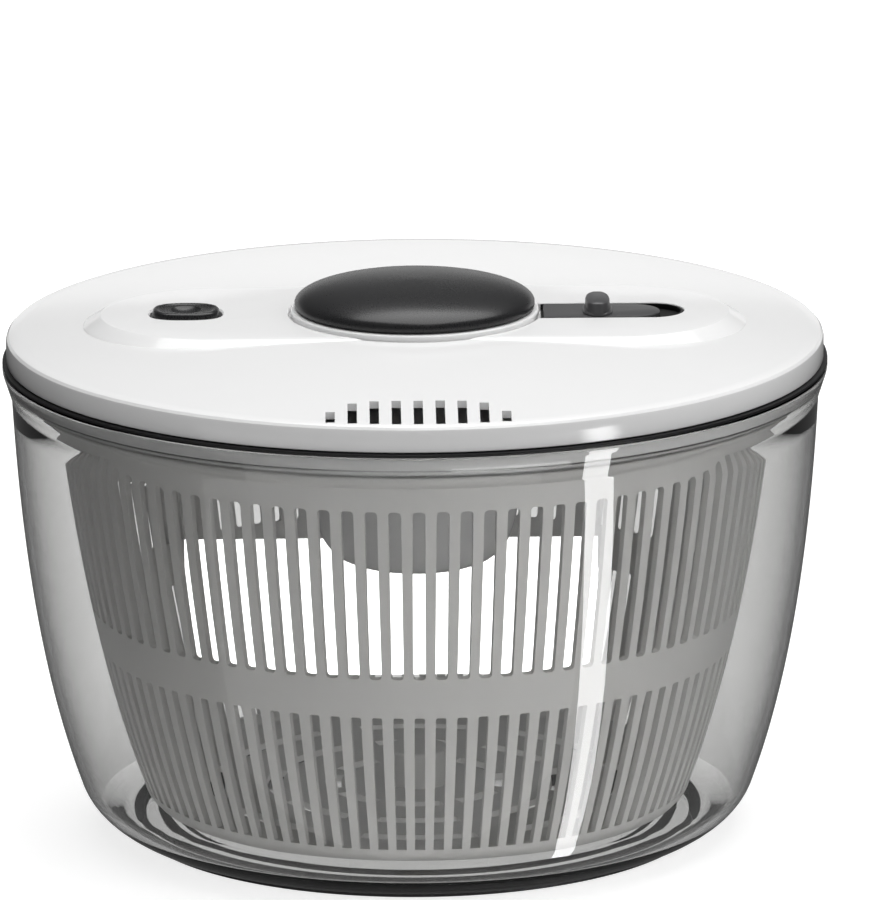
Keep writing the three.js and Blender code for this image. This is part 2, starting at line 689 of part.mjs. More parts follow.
const recessStart = wellRadius - LATCH_RECESS_BREAK;
const postHalf = LATCH_POST / 2;
const latchSlot = [
  GRIP_X - postHalf - RUNNING_GAP,
  GRIP_X + postHalf + LATCH_TRAVEL + RUNNING_GAP,
];
const brakeHoleGrow = RUNNING_GAP + 0.2;
const brakeTop = lidTop + BRAKE_STANDS_OUT;
const brakeBottom = brakeTop - BRAKE_BUTTON_HEIGHT;
const brakeWellFloor = brakeBottom - BRAKE_TRAVEL - RUNNING_GAP;
const brakeWellUnder = brakeWellFloor - 1.3;
const stemHole = BRAKE_STEM_RADIUS + RUNNING_GAP;

// Outline of the latch's recess, drawn in by a margin on its outer end and its sides.
function recessShape(start, margin) {
  return stadium(start, LATCH_RECESS_END - margin, LATCH_RECESS_HALF_WIDTH - margin, true);
}

function makeVents() {
  let vents;
  const ventEnd = lidRadius - VENT_MARGIN;
  const middle = (VENT_COUNT - 1) / 2;
  for (let i = 0; i < VENT_COUNT; i += 1) {
    const x = (i - middle) * VENT_PITCH;
    const side = Math.abs(i - middle) / (middle + VENT_FADE);
    const outer = -Math.sqrt(ventEnd ** 2 - x ** 2);
    const length = VENT_REACH * Math.sqrt(1 - side ** VENT_SQUARENESS);
    const vent = block(
      [x - VENT_WIDTH / 2, x + VENT_WIDTH / 2],
      [outer, outer + length],
      [lidEdgeZ - 2 * LID_WALL, lidTop],
    );
    vents = vents ? vents.add(vent) : vent;
  }
  return vents;
}

function makeLid() {
  const crownRadii = [lidRadius - LID_EDGE_ROUND, lidRadius * 0.8, lidRadius * 0.48];
  const under = (radius) => crownHeight(radius) - LID_WALL;
  const crown = revolve(
    [
      [0, lidTop],
      ...crownRadii.map((radius) => [radius, crownHeight(radius)]).reverse(),
      [lidRadius - LID_EDGE_ROUND * 0.3, lidEdgeZ - LID_EDGE_ROUND * 0.3],
      [lidRadius, lidEdgeZ - LID_EDGE_ROUND],
      [lidRadius, skirtBottom],
      [lidRadius - SKIRT_WALL, skirtBottom],
      [lidRadius - SKIRT_WALL, under(lidRadius)],
      [plugRadius, under(plugRadius)],
      [plugRadius, plugBottom],
      [plugRadius - PLUG_WALL, plugBottom],
      [plugRadius - PLUG_WALL, under(plugRadius - PLUG_WALL)],
      ...crownRadii.slice(1).map((radius) => [radius, under(radius)]),
      [0, lidUnder],
    ],
    WIDE_FACETS,
  );
  // The raised plateau that carries the knob, the latch and the brake.
  const plateauShape = stadium(
    -PLATEAU_HALF_LENGTH - PLATEAU_SLOPE,
    PLATEAU_HALF_LENGTH + PLATEAU_SLOPE,
    PLATEAU_HALF_WIDTH + PLATEAU_SLOPE,
  );
  const plateauBase = crownHeight(PLATEAU_HALF_LENGTH) - LID_WALL;
  const plateau = raise(plateauShape, plateauBase, lidTop, PLATEAU_SLOPE);
  const hollow = raise(
    stadium(-PLATEAU_HALF_LENGTH, PLATEAU_HALF_LENGTH, PLATEAU_HALF_WIDTH),
    plateauBase - LID_WALL,
    lidUnder,
  );
  let lid = crown.add(plateau).subtract(hollow);
  // Floors of the knob's well, the latch's recess and the brake's well.
  lid = lid.add(cylinder(wellRadius + LID_WALL, wellFloor - LID_WALL, lidUnder + 1, HUB_FACETS));
  const latchBoss = stadium(
    guideRadius - GUIDE_WALL / 2,
    LATCH_RECESS_END + LID_WALL,
    LATCH_RECESS_HALF_WIDTH + LID_WALL,
    true,
  );
  lid = lid.add(raise(latchBoss, recessFloor - LID_WALL, lidUnder + 1));
  const brakeSleeve = oblong(
    BRAKE_X,
    BRAKE_HALF_LENGTH + brakeHoleGrow + 1.5,
    BRAKE_HALF_WIDTH + brakeHoleGrow + 1.5,
  );
  lid = lid.add(raise(brakeSleeve, brakeWellUnder, lidUnder + 1));
  lid = lid.add(cylinder(guideRadius, guideBottom, wellFloor, HUB_FACETS));
  // Rails that guide the latch bolt under the lid.
  const railInner = BOLT_HALF_WIDTH + RUNNING_GAP;
  for (const side of [-1, 1]) {
    const across = [side * railInner, side * (railInner + 1.5)].sort((a, b) => a - b);
    const along = [guideRadius - 1, LATCH_RECESS_END - LATCH_RAIL_STOP];
    lid = lid.add(block(along, across, [boltBottom, recessFloor - 1]));
  }
  // Openings.
  lid = lid.subtract(cylinder(wellRadius, wellFloor, lidTop + 1, WIDE_FACETS));
  lid = lid.subtract(cylinder(guideBore, guideBottom - 1, lidTop, HUB_FACETS));
  const keyway = spoke(
    guideBore - 1,
    NECK_RADIUS + KEY_DEPTH + RUNNING_GAP,
    KEY_WIDTH + 2 * RUNNING_GAP,
    guideBottom - 1,
    lidTop,
  );
  lid = lid.subtract(around(NECK_KEYS, keyway, 45));
  const ringGroove = tube(
    guideRadius - BEARING_RING_BITE,
    guideRadius + 1,
    bearingRingBottom - SEAT_GAP,
    bearingRingTop + SEAT_GAP,
    HUB_FACETS,
  );
  lid = lid.subtract(ringGroove);
  const recess = recessShape(recessStart, 0);
  const recessCut = raise(recess, recessFloor, lidTop + 1);
  lid = lid.subtract(recessCut.subtract(cylinder(recessStart, 0, lidTop + 2, WIDE_FACETS)));
  const slotHalf = postHalf + RUNNING_GAP + 0.5;
  lid = lid.subtract(block(latchSlot, [-slotHalf, slotHalf], [wellFloor - 10, lidTop]));
  const window = [boltBottom - RUNNING_GAP, boltTop + RUNNING_GAP];
  const boltPath = [guideBore - 2, LATCH_RECESS_END - LATCH_RAIL_STOP];
  lid = lid.subtract(block(boltPath, [-railInner, railInner], window));
  const brakeHole = oblong(
    BRAKE_X,
    BRAKE_HALF_LENGTH + brakeHoleGrow,
    BRAKE_HALF_WIDTH + brakeHoleGrow,
  );
  lid = lid.subtract(raise(brakeHole, brakeWellFloor, lidTop + 1));
  const stemBore = cylinder(stemHole, brakeWellUnder - 1, lidTop).translate([BRAKE_X, 0, 0]);
  return lid.subtract(stemBore).subtract(makeVents());
}
addPart("lid_casing", makeLid(), WHITE_GLOSS);

const seal = revolve(
  [
    [sealLipInner, sealLipBottom],
    [sealLipInner + SEAL_LIP, sealLipBottom],
    [sealLipInner + SEAL_LIP, sealBottom],
    [collarRadius, sealBottom],
    [collarRadius, sealBottom + SEAL_HEIGHT],
    [sealLipInner, sealBottom + SEAL_HEIGHT],
  ],
  WIDE_FACETS,
);
addPart("lid_seal", seal, BLACK_RUBBER);

// --------------------------------------------------------------------------------- knob

const knobSeatRing = KNOB_RADIUS - KNOB_WALL - SEAT_GAP - 1.2; // outside of the ring the cap clips over
const shaftBossRadius = SHAFT_COLLAR_RADIUS + SEAT_GAP + 2.5;
const screwHole = 2.2;

function makeKnobBody() {
  let body = revolve(
    [
      [screwHole, flangeBottom],
      [SHAFT_COLLAR_RADIUS + SEAT_GAP, flangeBottom],
      [SHAFT_COLLAR_RADIUS + SEAT_GAP, flangeBottom - SHAFT_COLLAR_HEIGHT],
      [shaftBossRadius, flangeBottom - SHAFT_COLLAR_HEIGHT],
      [shaftBossRadius, flangeBottom],
      [NECK_RADIUS - NECK_WALL, flangeBottom],
      [NECK_RADIUS - NECK_WALL, neckBottom],
      [NECK_RADIUS, neckBottom],
      [NECK_RADIUS, flangeBottom],
      [FLANGE_RADIUS - 0.5, flangeBottom],
      [FLANGE_RADIUS, flangeBottom + 0.5],
      [FLANGE_RADIUS, flangeTop - 0.4],
      [FLANGE_RADIUS - 0.5, flangeTop],
      [knobSeatRing, flangeTop],
      [knobSeatRing, flangeTop + 3],
      [knobSeatRing - 1.8, flangeTop + 3],
      [knobSeatRing - 1.8, flangeTop],
      [screwHole, flangeTop],
    ],
    HUB_FACETS,
  );
  const key = spoke(
    NECK_RADIUS - 1,
    NECK_RADIUS + KEY_DEPTH,
    KEY_WIDTH,
    neckBottom + 2,
    flangeBottom - 1,
  );
  return body.add(around(NECK_KEYS, key, 45));
}
addPart("knob_body", makeKnobBody(), WHITE_GLOSS);

const capBottom = flangeTop + SEAT_GAP;
const capTop = capBottom + KNOB_HEIGHT;
const capBore = knobSeatRing + SEAT_GAP;
const knobDome = bend([KNOB_RADIUS, capBottom + 2], [KNOB_RADIUS - 2, capTop - 0.6], [0, capTop], 5);
const knobCap = revolve(
  [
    [capBore, capBottom],
    [KNOB_RADIUS - 0.7, capBottom],
    [KNOB_RADIUS, capBottom + 1],
    ...knobDome,
    [0, capTop - KNOB_WALL],
    [capBore * 0.6, capTop - KNOB_WALL - 0.8],
    [capBore, flangeTop + 4],
  ],
  KNOB_FACETS,
);
addPart("knob_cap", knobCap, BLACK_SATIN);

const knobScrew = revolve(
  [
    [0, flangeBottom - SHAFT_COLLAR_HEIGHT + 2],
    [screwHole - SEAT_GAP, flangeBottom - SHAFT_COLLAR_HEIGHT + 2],
    [screwHole - SEAT_GAP, flangeTop + SEAT_GAP],
    [4, flangeTop + SEAT_GAP],
    [4, flangeTop + 1.8],
    [0, flangeTop + 2.3],
  ],
  SMALL_FACETS,
);
addPart("knob_screw", knobScrew, STEEL);

// --------------------------------------------------------------- dome, clutch and shaft

const domeRootZ = discUnder - SEAT_GAP;
const clutchLedge = guideBottom + 2;
const nutBottom = clutchLedge + TOOTH_HEIGHT + SEAT_GAP + 0.2; // held clear of the ledge's teeth
const nutTop = nutBottom + NUT_HEIGHT;
const washerBottom = nutTop + SEAT_GAP;
const plugZ = washerBottom + WASHER_THICKNESS + SEAT_GAP;
const towerTop = plugZ + 1.5;
const capPlateTop = towerTop + SEAT_GAP + CAP_THICKNESS - 1.5;
const springSeatBottom = capPlateTop + SEAT_GAP;
const springBottom = springSeatBottom + WASHER_THICKNESS + SEAT_GAP;
const shaftBottom = nutBottom + SHAFT_HOLD - KNOB_TRAVEL;
const domeFloorTop = shaftBottom - SHAFT_FOOT_ROOM;
const domeTipZ = domeFloorTop - DOME_FLOOR;
const shaftHole = SHAFT_WIDTH / 2 + 2.5;

function makeDome() {
  const outside = [
    [0, domeTipZ],
    [DOME_TIP_RADIUS, domeTipZ + 0.6],
    ...bend(
      [DOME_TIP_RADIUS + 4, domeTipZ + 2.4],
      [DOME_RADIUS - 0.6, domeTipZ + 7],
      [DOME_RADIUS, domeTipZ + 18],
      3,
    ),
    [DOME_RADIUS + DOME_FLARE, domeRootZ - 5],
    [HOOK_RADIUS + 1, domeRootZ - 2.5],
    [HOOK_RADIUS + 3, domeRootZ - 1.6],
    [HOOK_RADIUS + 3, domeRootZ],
  ];
  const wellInner = DOME_RADIUS - DOME_WALL;
  let dome = revolve(
    [
      ...outside,
      [hubRadius + RUNNING_GAP, domeRootZ],
      [hubRadius + RUNNING_GAP, bearingRingTop],
      [domeRootInner, bearingRingTop],
      [domeRootInner, domeRootZ - 6],
      [wellInner, domeTipZ + 19],
      [wellInner - 2.4, domeTipZ + 10],
      [TOWER_RADIUS + 1, domeFloorTop + 0.8],
      [TOWER_RADIUS, domeFloorTop + 1.6],
      [TOWER_RADIUS, towerTop],
      [towerBore, towerTop],
      [towerBore, clutchLedge],
      [shaftHole, clutchLedge],
      [shaftHole, clutchLedge - TOWER_WALL],
      [towerBore, clutchLedge - TOWER_WALL],
      [towerBore, domeFloorTop + 1],
      [towerBore - 1, domeFloorTop],
      [0, domeFloorTop],
    ],
    HUB_FACETS,
  );
  dome = dome.add(sawTeeth(...TOOTH_RADII, clutchLedge, false));
  // Spring hooks that snap up through the drive disc.
  const hookInner = HOOK_RADIUS - 1;
  const lipBottom = discTop + SEAT_GAP;
  const post = spoke(hookInner, hookInner + 2, HOOK_WIDTH, domeRootZ - 1.5, lipBottom + 1.4);
  const lip = spoke(hookInner, hookInner + 3.2, HOOK_WIDTH, lipBottom, lipBottom + 1.4);
  dome = dome.add(around(HOOKS, post.add(lip)));
  // Upright drain slot near the tip.
  const drainShape = stadium(-4.2, 4.2, 1.5);
  const drain = new THREE.ExtrudeGeometry(drainShape, {
    depth: 3 * DOME_WALL,
    bevelEnabled: false,
    curveSegments: 4,
  });
  drain.rotateZ(Math.PI / 2);
  drain.rotateX(Math.PI / 2);
  drain.rotateZ(Math.PI / 5);
  const outward = new THREE.Vector3(Math.sin(Math.PI / 5), -Math.cos(Math.PI / 5), 0);
  const wallMiddle = outward.multiplyScalar(DOME_RADIUS - 2 * DOME_WALL);
  drain.translate(wallMiddle.x, wallMiddle.y, domeTipZ + 15);
  return dome.subtract(solidOf(drain));
}
addPart("drive_dome", makeDome(), WHITE_GLOSS);

function makeShaft() {
  const collarTop = flangeBottom - SEAT_GAP;
  const collarBottom = flangeBottom - SHAFT_COLLAR_HEIGHT;
  const collar = cylinder(SHAFT_COLLAR_RADIUS, collarBottom, collarTop);
  const bar = twistedBar(SHAFT_WIDTH, SHAFT_THICKNESS, shaftBottom, collarBottom + 1, nutBottom);
  return collar.add(bar).subtract(cylinder(screwHole, collarBottom + 1.5, collarTop + 1));
}
addPart("spiral_shaft", makeShaft(), NATURAL_POM);

function makeNut() {
  const faceZ = nutBottom + TOOTH_HEIGHT;
  const body = cylinder(NUT_RADIUS, faceZ, nutTop, HUB_FACETS);
  const teeth = sawTeeth(...TOOTH_RADII, faceZ, true);
  const slot = twistedBar(
    SHAFT_WIDTH + 2 * TWIST_GAP,
    SHAFT_THICKNESS + 2 * TWIST_GAP,
    nutBottom - 2,
    nutTop + 2,
    nutBottom,
  );
  return body.add(teeth).subtract(slot);
}
addPart("clutch_nut", makeNut(), NATURAL_POM);

const washer = tube(shaftHole, NUT_RADIUS - 1, washerBottom, washerBottom + WASHER_THICKNESS);
addPart("clutch_washer", washer, STEEL);

const clutchCap = revolve(
  [
    [shaftHole, plugZ],
    [towerBore - SEAT_GAP, plugZ],
    [towerBore - SEAT_GAP, towerTop + SEAT_GAP],
    [TOWER_RADIUS, towerTop + SEAT_GAP],
    [TOWER_RADIUS, capPlateTop],
    [shaftHole, capPlateTop],
  ],
  HUB_FACETS,
);
addPart("clutch_cap", clutchCap, WHITE_SATIN);

const seatInner = RETURN_SPRING_RADIUS - 3;
const springSeat = tube(
  seatInner,
  RETURN_SPRING_RADIUS + 3,
  springSeatBottom,
  springSeatBottom + WASHER_THICKNESS,
);
addPart("spring_washer", springSeat, STEEL);

const returnSpring = coil(
  0,
  RETURN_SPRING_RADIUS,
  RETURN_SPRING_WIRE,
  RETURN_SPRING_TURNS,
  springBottom,
  flangeBottom - SEAT_GAP,
);
addPart("return_spring", returnSpring, STEEL);

// --------------------------------------------------------------------------- drive disc

function makeDisc() {
  const keyRingInner = keyRingRadius - 2.1;
  const rimTop = basketTop + 1.5 + DISC_RIM_THICKNESS;
  let disc = revolve(
    [
      [hubBore, hubLedgeBottom],
      [hubRadius, hubLedgeBottom],
      [hubRadius, discUnder],
      [STIFFENER_RADIUS - 1.5, discUnder],
      [STIFFENER_RADIUS - 0.9, discUnder - 1.2],
      [STIFFENER_RADIUS + 0.9, discUnder - 1.2],
      [STIFFENER_RADIUS + 1.5, discUnder],
      [keyRingInner, discUnder],
      [keyRingInner, discUnder - KEY_RING_DEPTH],
      [keyRingRadius, discUnder - KEY_RING_DEPTH],
      [keyRingRadius, rimTop - DISC_RIM_THICKNESS],
      [discRimRadius, rimTop - DISC_RIM_THICKNESS],
      [discRimRadius, rimTop],
      [keyRingRadius + 1, rimTop],
      [keyRingRadius, discTop],
      [hubBore, discTop],
    ],
    WIDE_FACETS,
  );
  const notchWidth = DRIVE_KEY_WIDTH + 2 * SWING_GAP;
  const notch = spoke(
    keyRingInner - 1,
    keyRingRadius + 1,
    notchWidth,
    discUnder - KEY_RING_DEPTH - 1,
    basketTop + SWING_GAP,
  );
  disc = disc.subtract(around(DRIVE_KEYS, notch));
  const hookSlot = spoke(
    HOOK_RADIUS - 1 - SEAT_GAP,
    HOOK_RADIUS + 2.2 + SEAT_GAP,
    HOOK_WIDTH + 2 * RUNNING_GAP,
    discUnder - 1,
    discTop + 1,
  );
  return disc.subtract(around(HOOKS, hookSlot));
}
addPart("drive_disc", makeDisc(), WHITE_GLOSS);

const splitRing = tube(
  bearingRingInner,
  bearingRingOuter,
  bearingRingBottom,
  bearingRingTop,
  HUB_FACETS,
).subtract(
  block(
    [-2 * bearingRingOuter, 0],
    [-BEARING_RING_SPLIT / 2, BEARING_RING_SPLIT / 2],
    [bearingRingBottom - 1, bearingRingTop + 1],
  ),
);
addPart("bearing_ring", splitRing, NATURAL_POM);

// -------------------------------------------------------------------------------- latch

const linerTop = recessFloor + SEAT_GAP + LATCH_LINER;
const slideBottom = linerTop + SEAT_GAP;
const latchScrewHole = 1.4;
const slideHalfWidth = LATCH_RECESS_HALF_WIDTH - SEAT_GAP - LATCH_LINER - RUNNING_GAP;

function makeLiner() {
  const start = recessStart + SEAT_GAP;
  const outline = recessShape(start, SEAT_GAP);
  const inside = recessShape(start - 1, SEAT_GAP + LATCH_LINER);
  const slotHalf = postHalf + RUNNING_GAP + 0.3;
  return raise(outline, recessFloor + SEAT_GAP, lidTop - LATCH_LINER_DROP)
    .subtract(raise(inside, linerTop, lidTop))
    .subtract(block(latchSlot, [-slotHalf, slotHalf], [recessFloor, lidTop]))
    .subtract(cylinder(start, 0, lidTop, WIDE_FACETS));
}
addPart("latch_liner", makeLiner(), DARK_GREY);

function makeSlide() {
  const start = recessStart + LATCH_SLIDE_INSET;
  const plateShape = stadium(start, LATCH_SLIDE_END, slideHalfWidth, true);
  const plate = raise(plateShape, slideBottom, lidTop).subtract(
    cylinder(start, 0, lidTop + 1, WIDE_FACETS),
  );
  const gripShape = oblong(GRIP_X, GRIP_LENGTH / 2, slideHalfWidth);
  const grip = raise(gripShape, lidTop - GRIP_ROOT, lidTop + GRIP_HEIGHT);
  const footShape = oblong(GRIP_X, GRIP_LENGTH / 2 + GRIP_FOOT_REACH, slideHalfWidth);
  const foot = raise(footShape, lidTop - GRIP_ROOT, lidTop + GRIP_FOOT_HEIGHT);
  const post = block(
    [GRIP_X - postHalf, GRIP_X + postHalf],
    [-postHalf, postHalf],
    [boltBottom + SEAT_GAP, slideBottom + 0.4],
  );
  const pilot = cylinder(latchScrewHole, 0, boltBottom + 5).translate([GRIP_X, 0, 0]);
  return plate.add(grip).add(foot).add(post).subtract(pilot);
}
addPart("latch_slide", makeSlide(), DARK_GREY);

function makeBolt() {
  const tip = NECK_RADIUS + RUNNING_GAP;
  const bar = block(
    [tip, GRIP_X + 6],
    [-BOLT_HALF_WIDTH, BOLT_HALF_WIDTH],
    [boltBottom, boltTop],
  );
  const hole = postHalf + SEAT_GAP;
  return bar.subtract(
    block([GRIP_X - hole, GRIP_X + hole], [-hole, hole], [boltBottom - 1, boltTop + 1]),
  );
}
addPart("latch_bolt", makeBolt(), WHITE_SATIN);

const latchScrew = revolve(
  [
    [0, boltBottom - SEAT_GAP - 1.4],
    [3.2, boltBottom - SEAT_GAP - 1],
    [3.2, boltBottom - SEAT_GAP],
    [latchScrewHole - SEAT_GAP, boltBottom - SEAT_GAP],
    [latchScrewHole - SEAT_GAP, boltBottom + 4],
    [0, boltBottom + 4.5],
  ],
  SMALL_FACETS,
).translate([GRIP_X, 0, 0]);
addPart("latch_screw", latchScrew, STEEL);

// -------------------------------------------------------------------------------- brake

const padTop = brakeWellUnder - SEAT_GAP;
const padBottom = padTop - BRAKE_PAD_HEIGHT;
const stemBottom = padBottom + 1.5;
const springPocket = BRAKE_SPRING_RADIUS + BRAKE_SPRING_WIRE / 2 + RUNNING_GAP;
const springPocketTop = brakeTop - 2;

function makeBrakeButton() {
  const shape = oblong(BRAKE_X, BRAKE_HALF_LENGTH, BRAKE_HALF_WIDTH);
  const body = raise(shape, brakeBottom, brakeTop);
  const pocket = cylinder(springPocket, brakeBottom - 1, springPocketTop);
  const stem = revolve(
    [
      [0, stemBottom],
      [BRAKE_STEM_RADIUS - 1, stemBottom],
      [BRAKE_STEM_RADIUS - 1, padTop - 0.6],
      [BRAKE_STEM_RADIUS, padTop - 0.6],
      [BRAKE_STEM_RADIUS, springPocketTop + 0.5],
      [0, springPocketTop + 0.5],
    ],
    SMALL_FACETS,
  );
  const dimple = revolve(
    [[0, brakeTop - 1], [3.2, brakeTop - 0.8], [5, brakeTop + 0.2], [0, brakeTop + 0.2]],
    SMALL_FACETS,
  );
  const at = [BRAKE_X, 0, 0];
  return body
    .subtract(pocket.translate(at))
    .add(stem.translate(at))
    .subtract(dimple.translate(at));
}
addPart("brake_button", makeBrakeButton(), BLACK_SATIN);

const brakeSpring = coil(
  BRAKE_X,
  BRAKE_SPRING_RADIUS,
  BRAKE_SPRING_WIRE,
  BRAKE_SPRING_TURNS,
  brakeWellFloor + SEAT_GAP,
  springPocketTop - SEAT_GAP,
);
addPart("brake_spring", brakeSpring, STEEL);

const pad = revolve(
  [
    [0, padBottom],
    [BRAKE_PAD_RADIUS - 0.8, padBottom],
    [BRAKE_PAD_RADIUS, padBottom + 0.8],
    [BRAKE_PAD_RADIUS, padTop - 2.4],
    [BRAKE_STEM_RADIUS + 1.6, padTop - 0.9],
    [BRAKE_STEM_RADIUS - 1 + SEAT_GAP, padTop - 0.9],
    [BRAKE_STEM_RADIUS - 1 + SEAT_GAP, stemBottom - SEAT_GAP],
    [0, stemBottom - SEAT_GAP],
  ],
  SMALL_FACETS,
).translate([BRAKE_X, 0, 0]);
addPart("brake_pad", pad, BLACK_RUBBER);

export default spinner;
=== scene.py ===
"""A press-pump salad spinner: smoky bowl, slotted white basket and white lid with a knob.

Metres in the model's own frame: +Z up, the brake on -X, the latch on +X, the vents at -Y.
Sizes below are written in millimetres and scaled once by MM.
"""

import math

import bmesh
import bpy
from mathutils import Matrix, Quaternion, Vector


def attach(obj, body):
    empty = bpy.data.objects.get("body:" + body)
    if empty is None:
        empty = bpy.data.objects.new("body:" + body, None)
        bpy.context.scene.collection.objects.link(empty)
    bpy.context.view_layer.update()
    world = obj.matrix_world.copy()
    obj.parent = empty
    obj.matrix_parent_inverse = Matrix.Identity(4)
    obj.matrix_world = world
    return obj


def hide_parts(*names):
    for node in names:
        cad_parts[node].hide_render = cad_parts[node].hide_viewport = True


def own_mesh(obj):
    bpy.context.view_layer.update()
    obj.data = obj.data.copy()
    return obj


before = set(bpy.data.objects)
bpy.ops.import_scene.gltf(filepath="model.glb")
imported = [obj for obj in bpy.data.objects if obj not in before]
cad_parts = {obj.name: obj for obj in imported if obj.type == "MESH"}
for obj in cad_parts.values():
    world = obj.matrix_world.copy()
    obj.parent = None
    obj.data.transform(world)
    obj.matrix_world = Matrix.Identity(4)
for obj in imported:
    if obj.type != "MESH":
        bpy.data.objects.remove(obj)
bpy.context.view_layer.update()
scene = bpy.context.scene

MM = 0.001
WIDE_STEPS = 192  # in a full turn of the bowl, the lid and the drive disc
KNOB_STEPS = 96
SMALL_STEPS = 48
CREASE = 32  # degrees between two faces from which their edge stays sharp


# ------------------------------------------------------------------------- shaping helpers


def close_up(shell):
    """Merges doubled corners and turns the faces outwards."""
    bmesh.ops.remove_doubles(shell, verts=shell.verts[:], dist=1e-6)
    bmesh.ops.recalc_face_normals(shell, faces=shell.faces[:])
    return shell


def round_corner(shell, geom, width, affect="EDGES", segments=3):
    bmesh.ops.bevel(
        shell,
        geom=geom,
        offset=width * MM,
        segments=segments,
        profile=0.5,
        affect=affect,
        material=-1,
    )


def turned(outline, steps=WIDE_STEPS):
    """Spins a closed outline of (radius, height) corners about Z.

    A third number in a corner is the width of its rounding.
    """
    shell = bmesh.new()
    corners = [shell.verts.new((corner[0] * MM, 0, corner[1] * MM)) for corner in outline]
    shell.faces.new(corners)
    for made, corner in zip(corners, outline):
        if len(corner) == 3:
            round_corner(shell, [made], corner[2], "VERTICES")
    bmesh.ops.delete(shell, geom=shell.faces[:], context="FACES_ONLY")
    on_axis = [edge for edge in shell.edges if all(end.co.x < 1e-7 for end in edge.verts)]
    bmesh.ops.delete(shell, geom=on_axis, context="EDGES")
    bmesh.ops.spin(
        shell,
        geom=shell.verts[:] + shell.edges[:],
        cent=(0, 0, 0),
        axis=(0, 0, 1),
        angle=2 * math.pi,
        steps=steps,
        use_merge=True,
    )
    return close_up(shell)


def repeated(shell, count):
    """Copies a shell round Z until it fills a full turn."""
    bmesh.ops.spin(
        shell,
        geom=shell.verts[:] + shell.edges[:] + shell.faces[:],
        cent=(0, 0, 0),
        axis=(0, 0, 1),
        angle=2 * math.pi * (count - 1) / count,
        steps=count - 1,
        use_duplicate=True,
    )
    return shell


def rotated(shell, degrees, axis):
    """Turns a shell about an axis through the origin."""
    matrix = Matrix.Rotation(math.radians(degrees), 3, axis)
    bmesh.ops.rotate(shell, verts=shell.verts[:], cent=(0, 0, 0), matrix=matrix)
    return shell


def box_shell(low, high, rounding=0.0):
    """A box between two corners in millimetres, its edges rounded."""
    shell = bmesh.new()
    bmesh.ops.create_cube(shell, size=MM)
    size = Vector(high) - Vector(low)
    bmesh.ops.scale(shell, verts=shell.verts[:], vec=size)
    bmesh.ops.translate(shell, verts=shell.verts[:], vec=(Vector(low) + size / 2) * MM)
    if rounding:
        round_corner(shell, shell.edges[:], rounding, segments=2)
    return shell


def joined(*shells):
    """Puts several closed shells into one mesh."""
    whole = shells[0]
    for shell in shells[1:]:
        mesh = bpy.data.meshes.new("shell")
        shell.to_mesh(mesh)
        shell.free()
        whole.from_mesh(mesh)
        bpy.data.meshes.remove(mesh)
    return whole


def combined(base, tool, operation):
    """A closed shell with another one joined to it (UNION) or cut from it (DIFFERENCE)."""
    stands = []
    for shell in (base, tool):
        mesh = bpy.data.meshes.new("shell")
        shell.to_mesh(mesh)
        shell.free()
        stand = bpy.data.objects.new("shell", mesh)
        scene.collection.objects.link(stand)
        stands.append(stand)
    cutter = stands[0].modifiers.new("combine", "BOOLEAN")
    cutter.object = stands[1]
    cutter.operation = operation
    cutter.solver = "EXACT"
    made = bmesh.new()
    made.from_object(stands[0], bpy.context.evaluated_depsgraph_get())
    for stand in stands:
        bpy.data.meshes.remove(stand.data)
    return made


def cut(base, *tools):
    for tool in tools:
        base = combined(base, tool, "DIFFERENCE")
    return base


def curve(start, pull, end, steps):
    """Points of a smooth bend between two (radius, height) corners, both included."""
    points = []
    for step in range(steps + 1):
        share = step / steps
        points.append(tuple(
            a * (1 - share) ** 2 + b * 2 * share * (1 - share) + c * share**2
            for a, b, c in zip(start, pull, end)
        ))
    return points


def moved_in(points, distance):
    """The same line moved sideways, to the left of its direction."""
    line = []
    for place, point in enumerate(points):
        before = Vector(points[max(place - 1, 0)])
        after = Vector(points[min(place + 1, len(points) - 1)])
        along = (after - before).normalized()
        line.append((point[0] - along.y * distance, point[1] + along.x * distance))
    return line


# Rings: each takes a mesh and a margin, adds one closed loop and gives its edges.


def ring_of(place, segments):
    def ring(shell, margin):
        made = bmesh.ops.create_circle(shell, segments=segments, radius=1)["verts"]
        for corner in made:
            corner.co.x, corner.co.y = place(corner.co.x, corner.co.y, margin)
        return list({edge for corner in made for edge in corner.link_edges})

    return ring


def round_ring(radius, centre=0.0, segments=KNOB_STEPS):
    def place(x, y, margin):
        return (centre + x * (radius + margin)) * MM, y * (radius + margin) * MM

    return ring_of(place, segments)


def stadium_ring(start, end, half_width, square_start=False, segments=64):
    def place(x, y, margin):
        reach = half_width + margin
        if x > -1e-6:
            return (end - half_width + x * reach) * MM, y * reach * MM
        if square_start:
            return (start - margin) * MM, y * reach * MM
        return (start + half_width + x * reach) * MM, y * reach * MM

    return ring_of(place, segments)


def oblong_ring(centre, half_length, half_width, squareness=2.7, segments=72):
    def place(x, y, margin):
        power = 2 / squareness
        return (
            (centre + math.copysign(abs(x) ** power, x) * (half_length + margin)) * MM,
            math.copysign(abs(y) ** power, y) * (half_width + margin) * MM,
        )

    return ring_of(place, segments)


def stacked(ring, levels):
    """A closed shell through copies of a ring, each at its (height, margin)."""
    shell = bmesh.new()
    loops = []
    for height, margin in levels:
        loop = ring(shell, margin)
        ends = list({end for edge in loop for end in edge.verts})
        bmesh.ops.translate(shell, verts=ends, vec=(0, 0, height * MM))
        loops.append(loop)
    for lower, upper in zip(loops, loops[1:]):
        bmesh.ops.bridge_loops(shell, edges=lower + upper)
    for loop in (loops[0], loops[-1]):
        bmesh.ops.edgeloop_fill(shell, edges=loop)
    return close_up(shell)


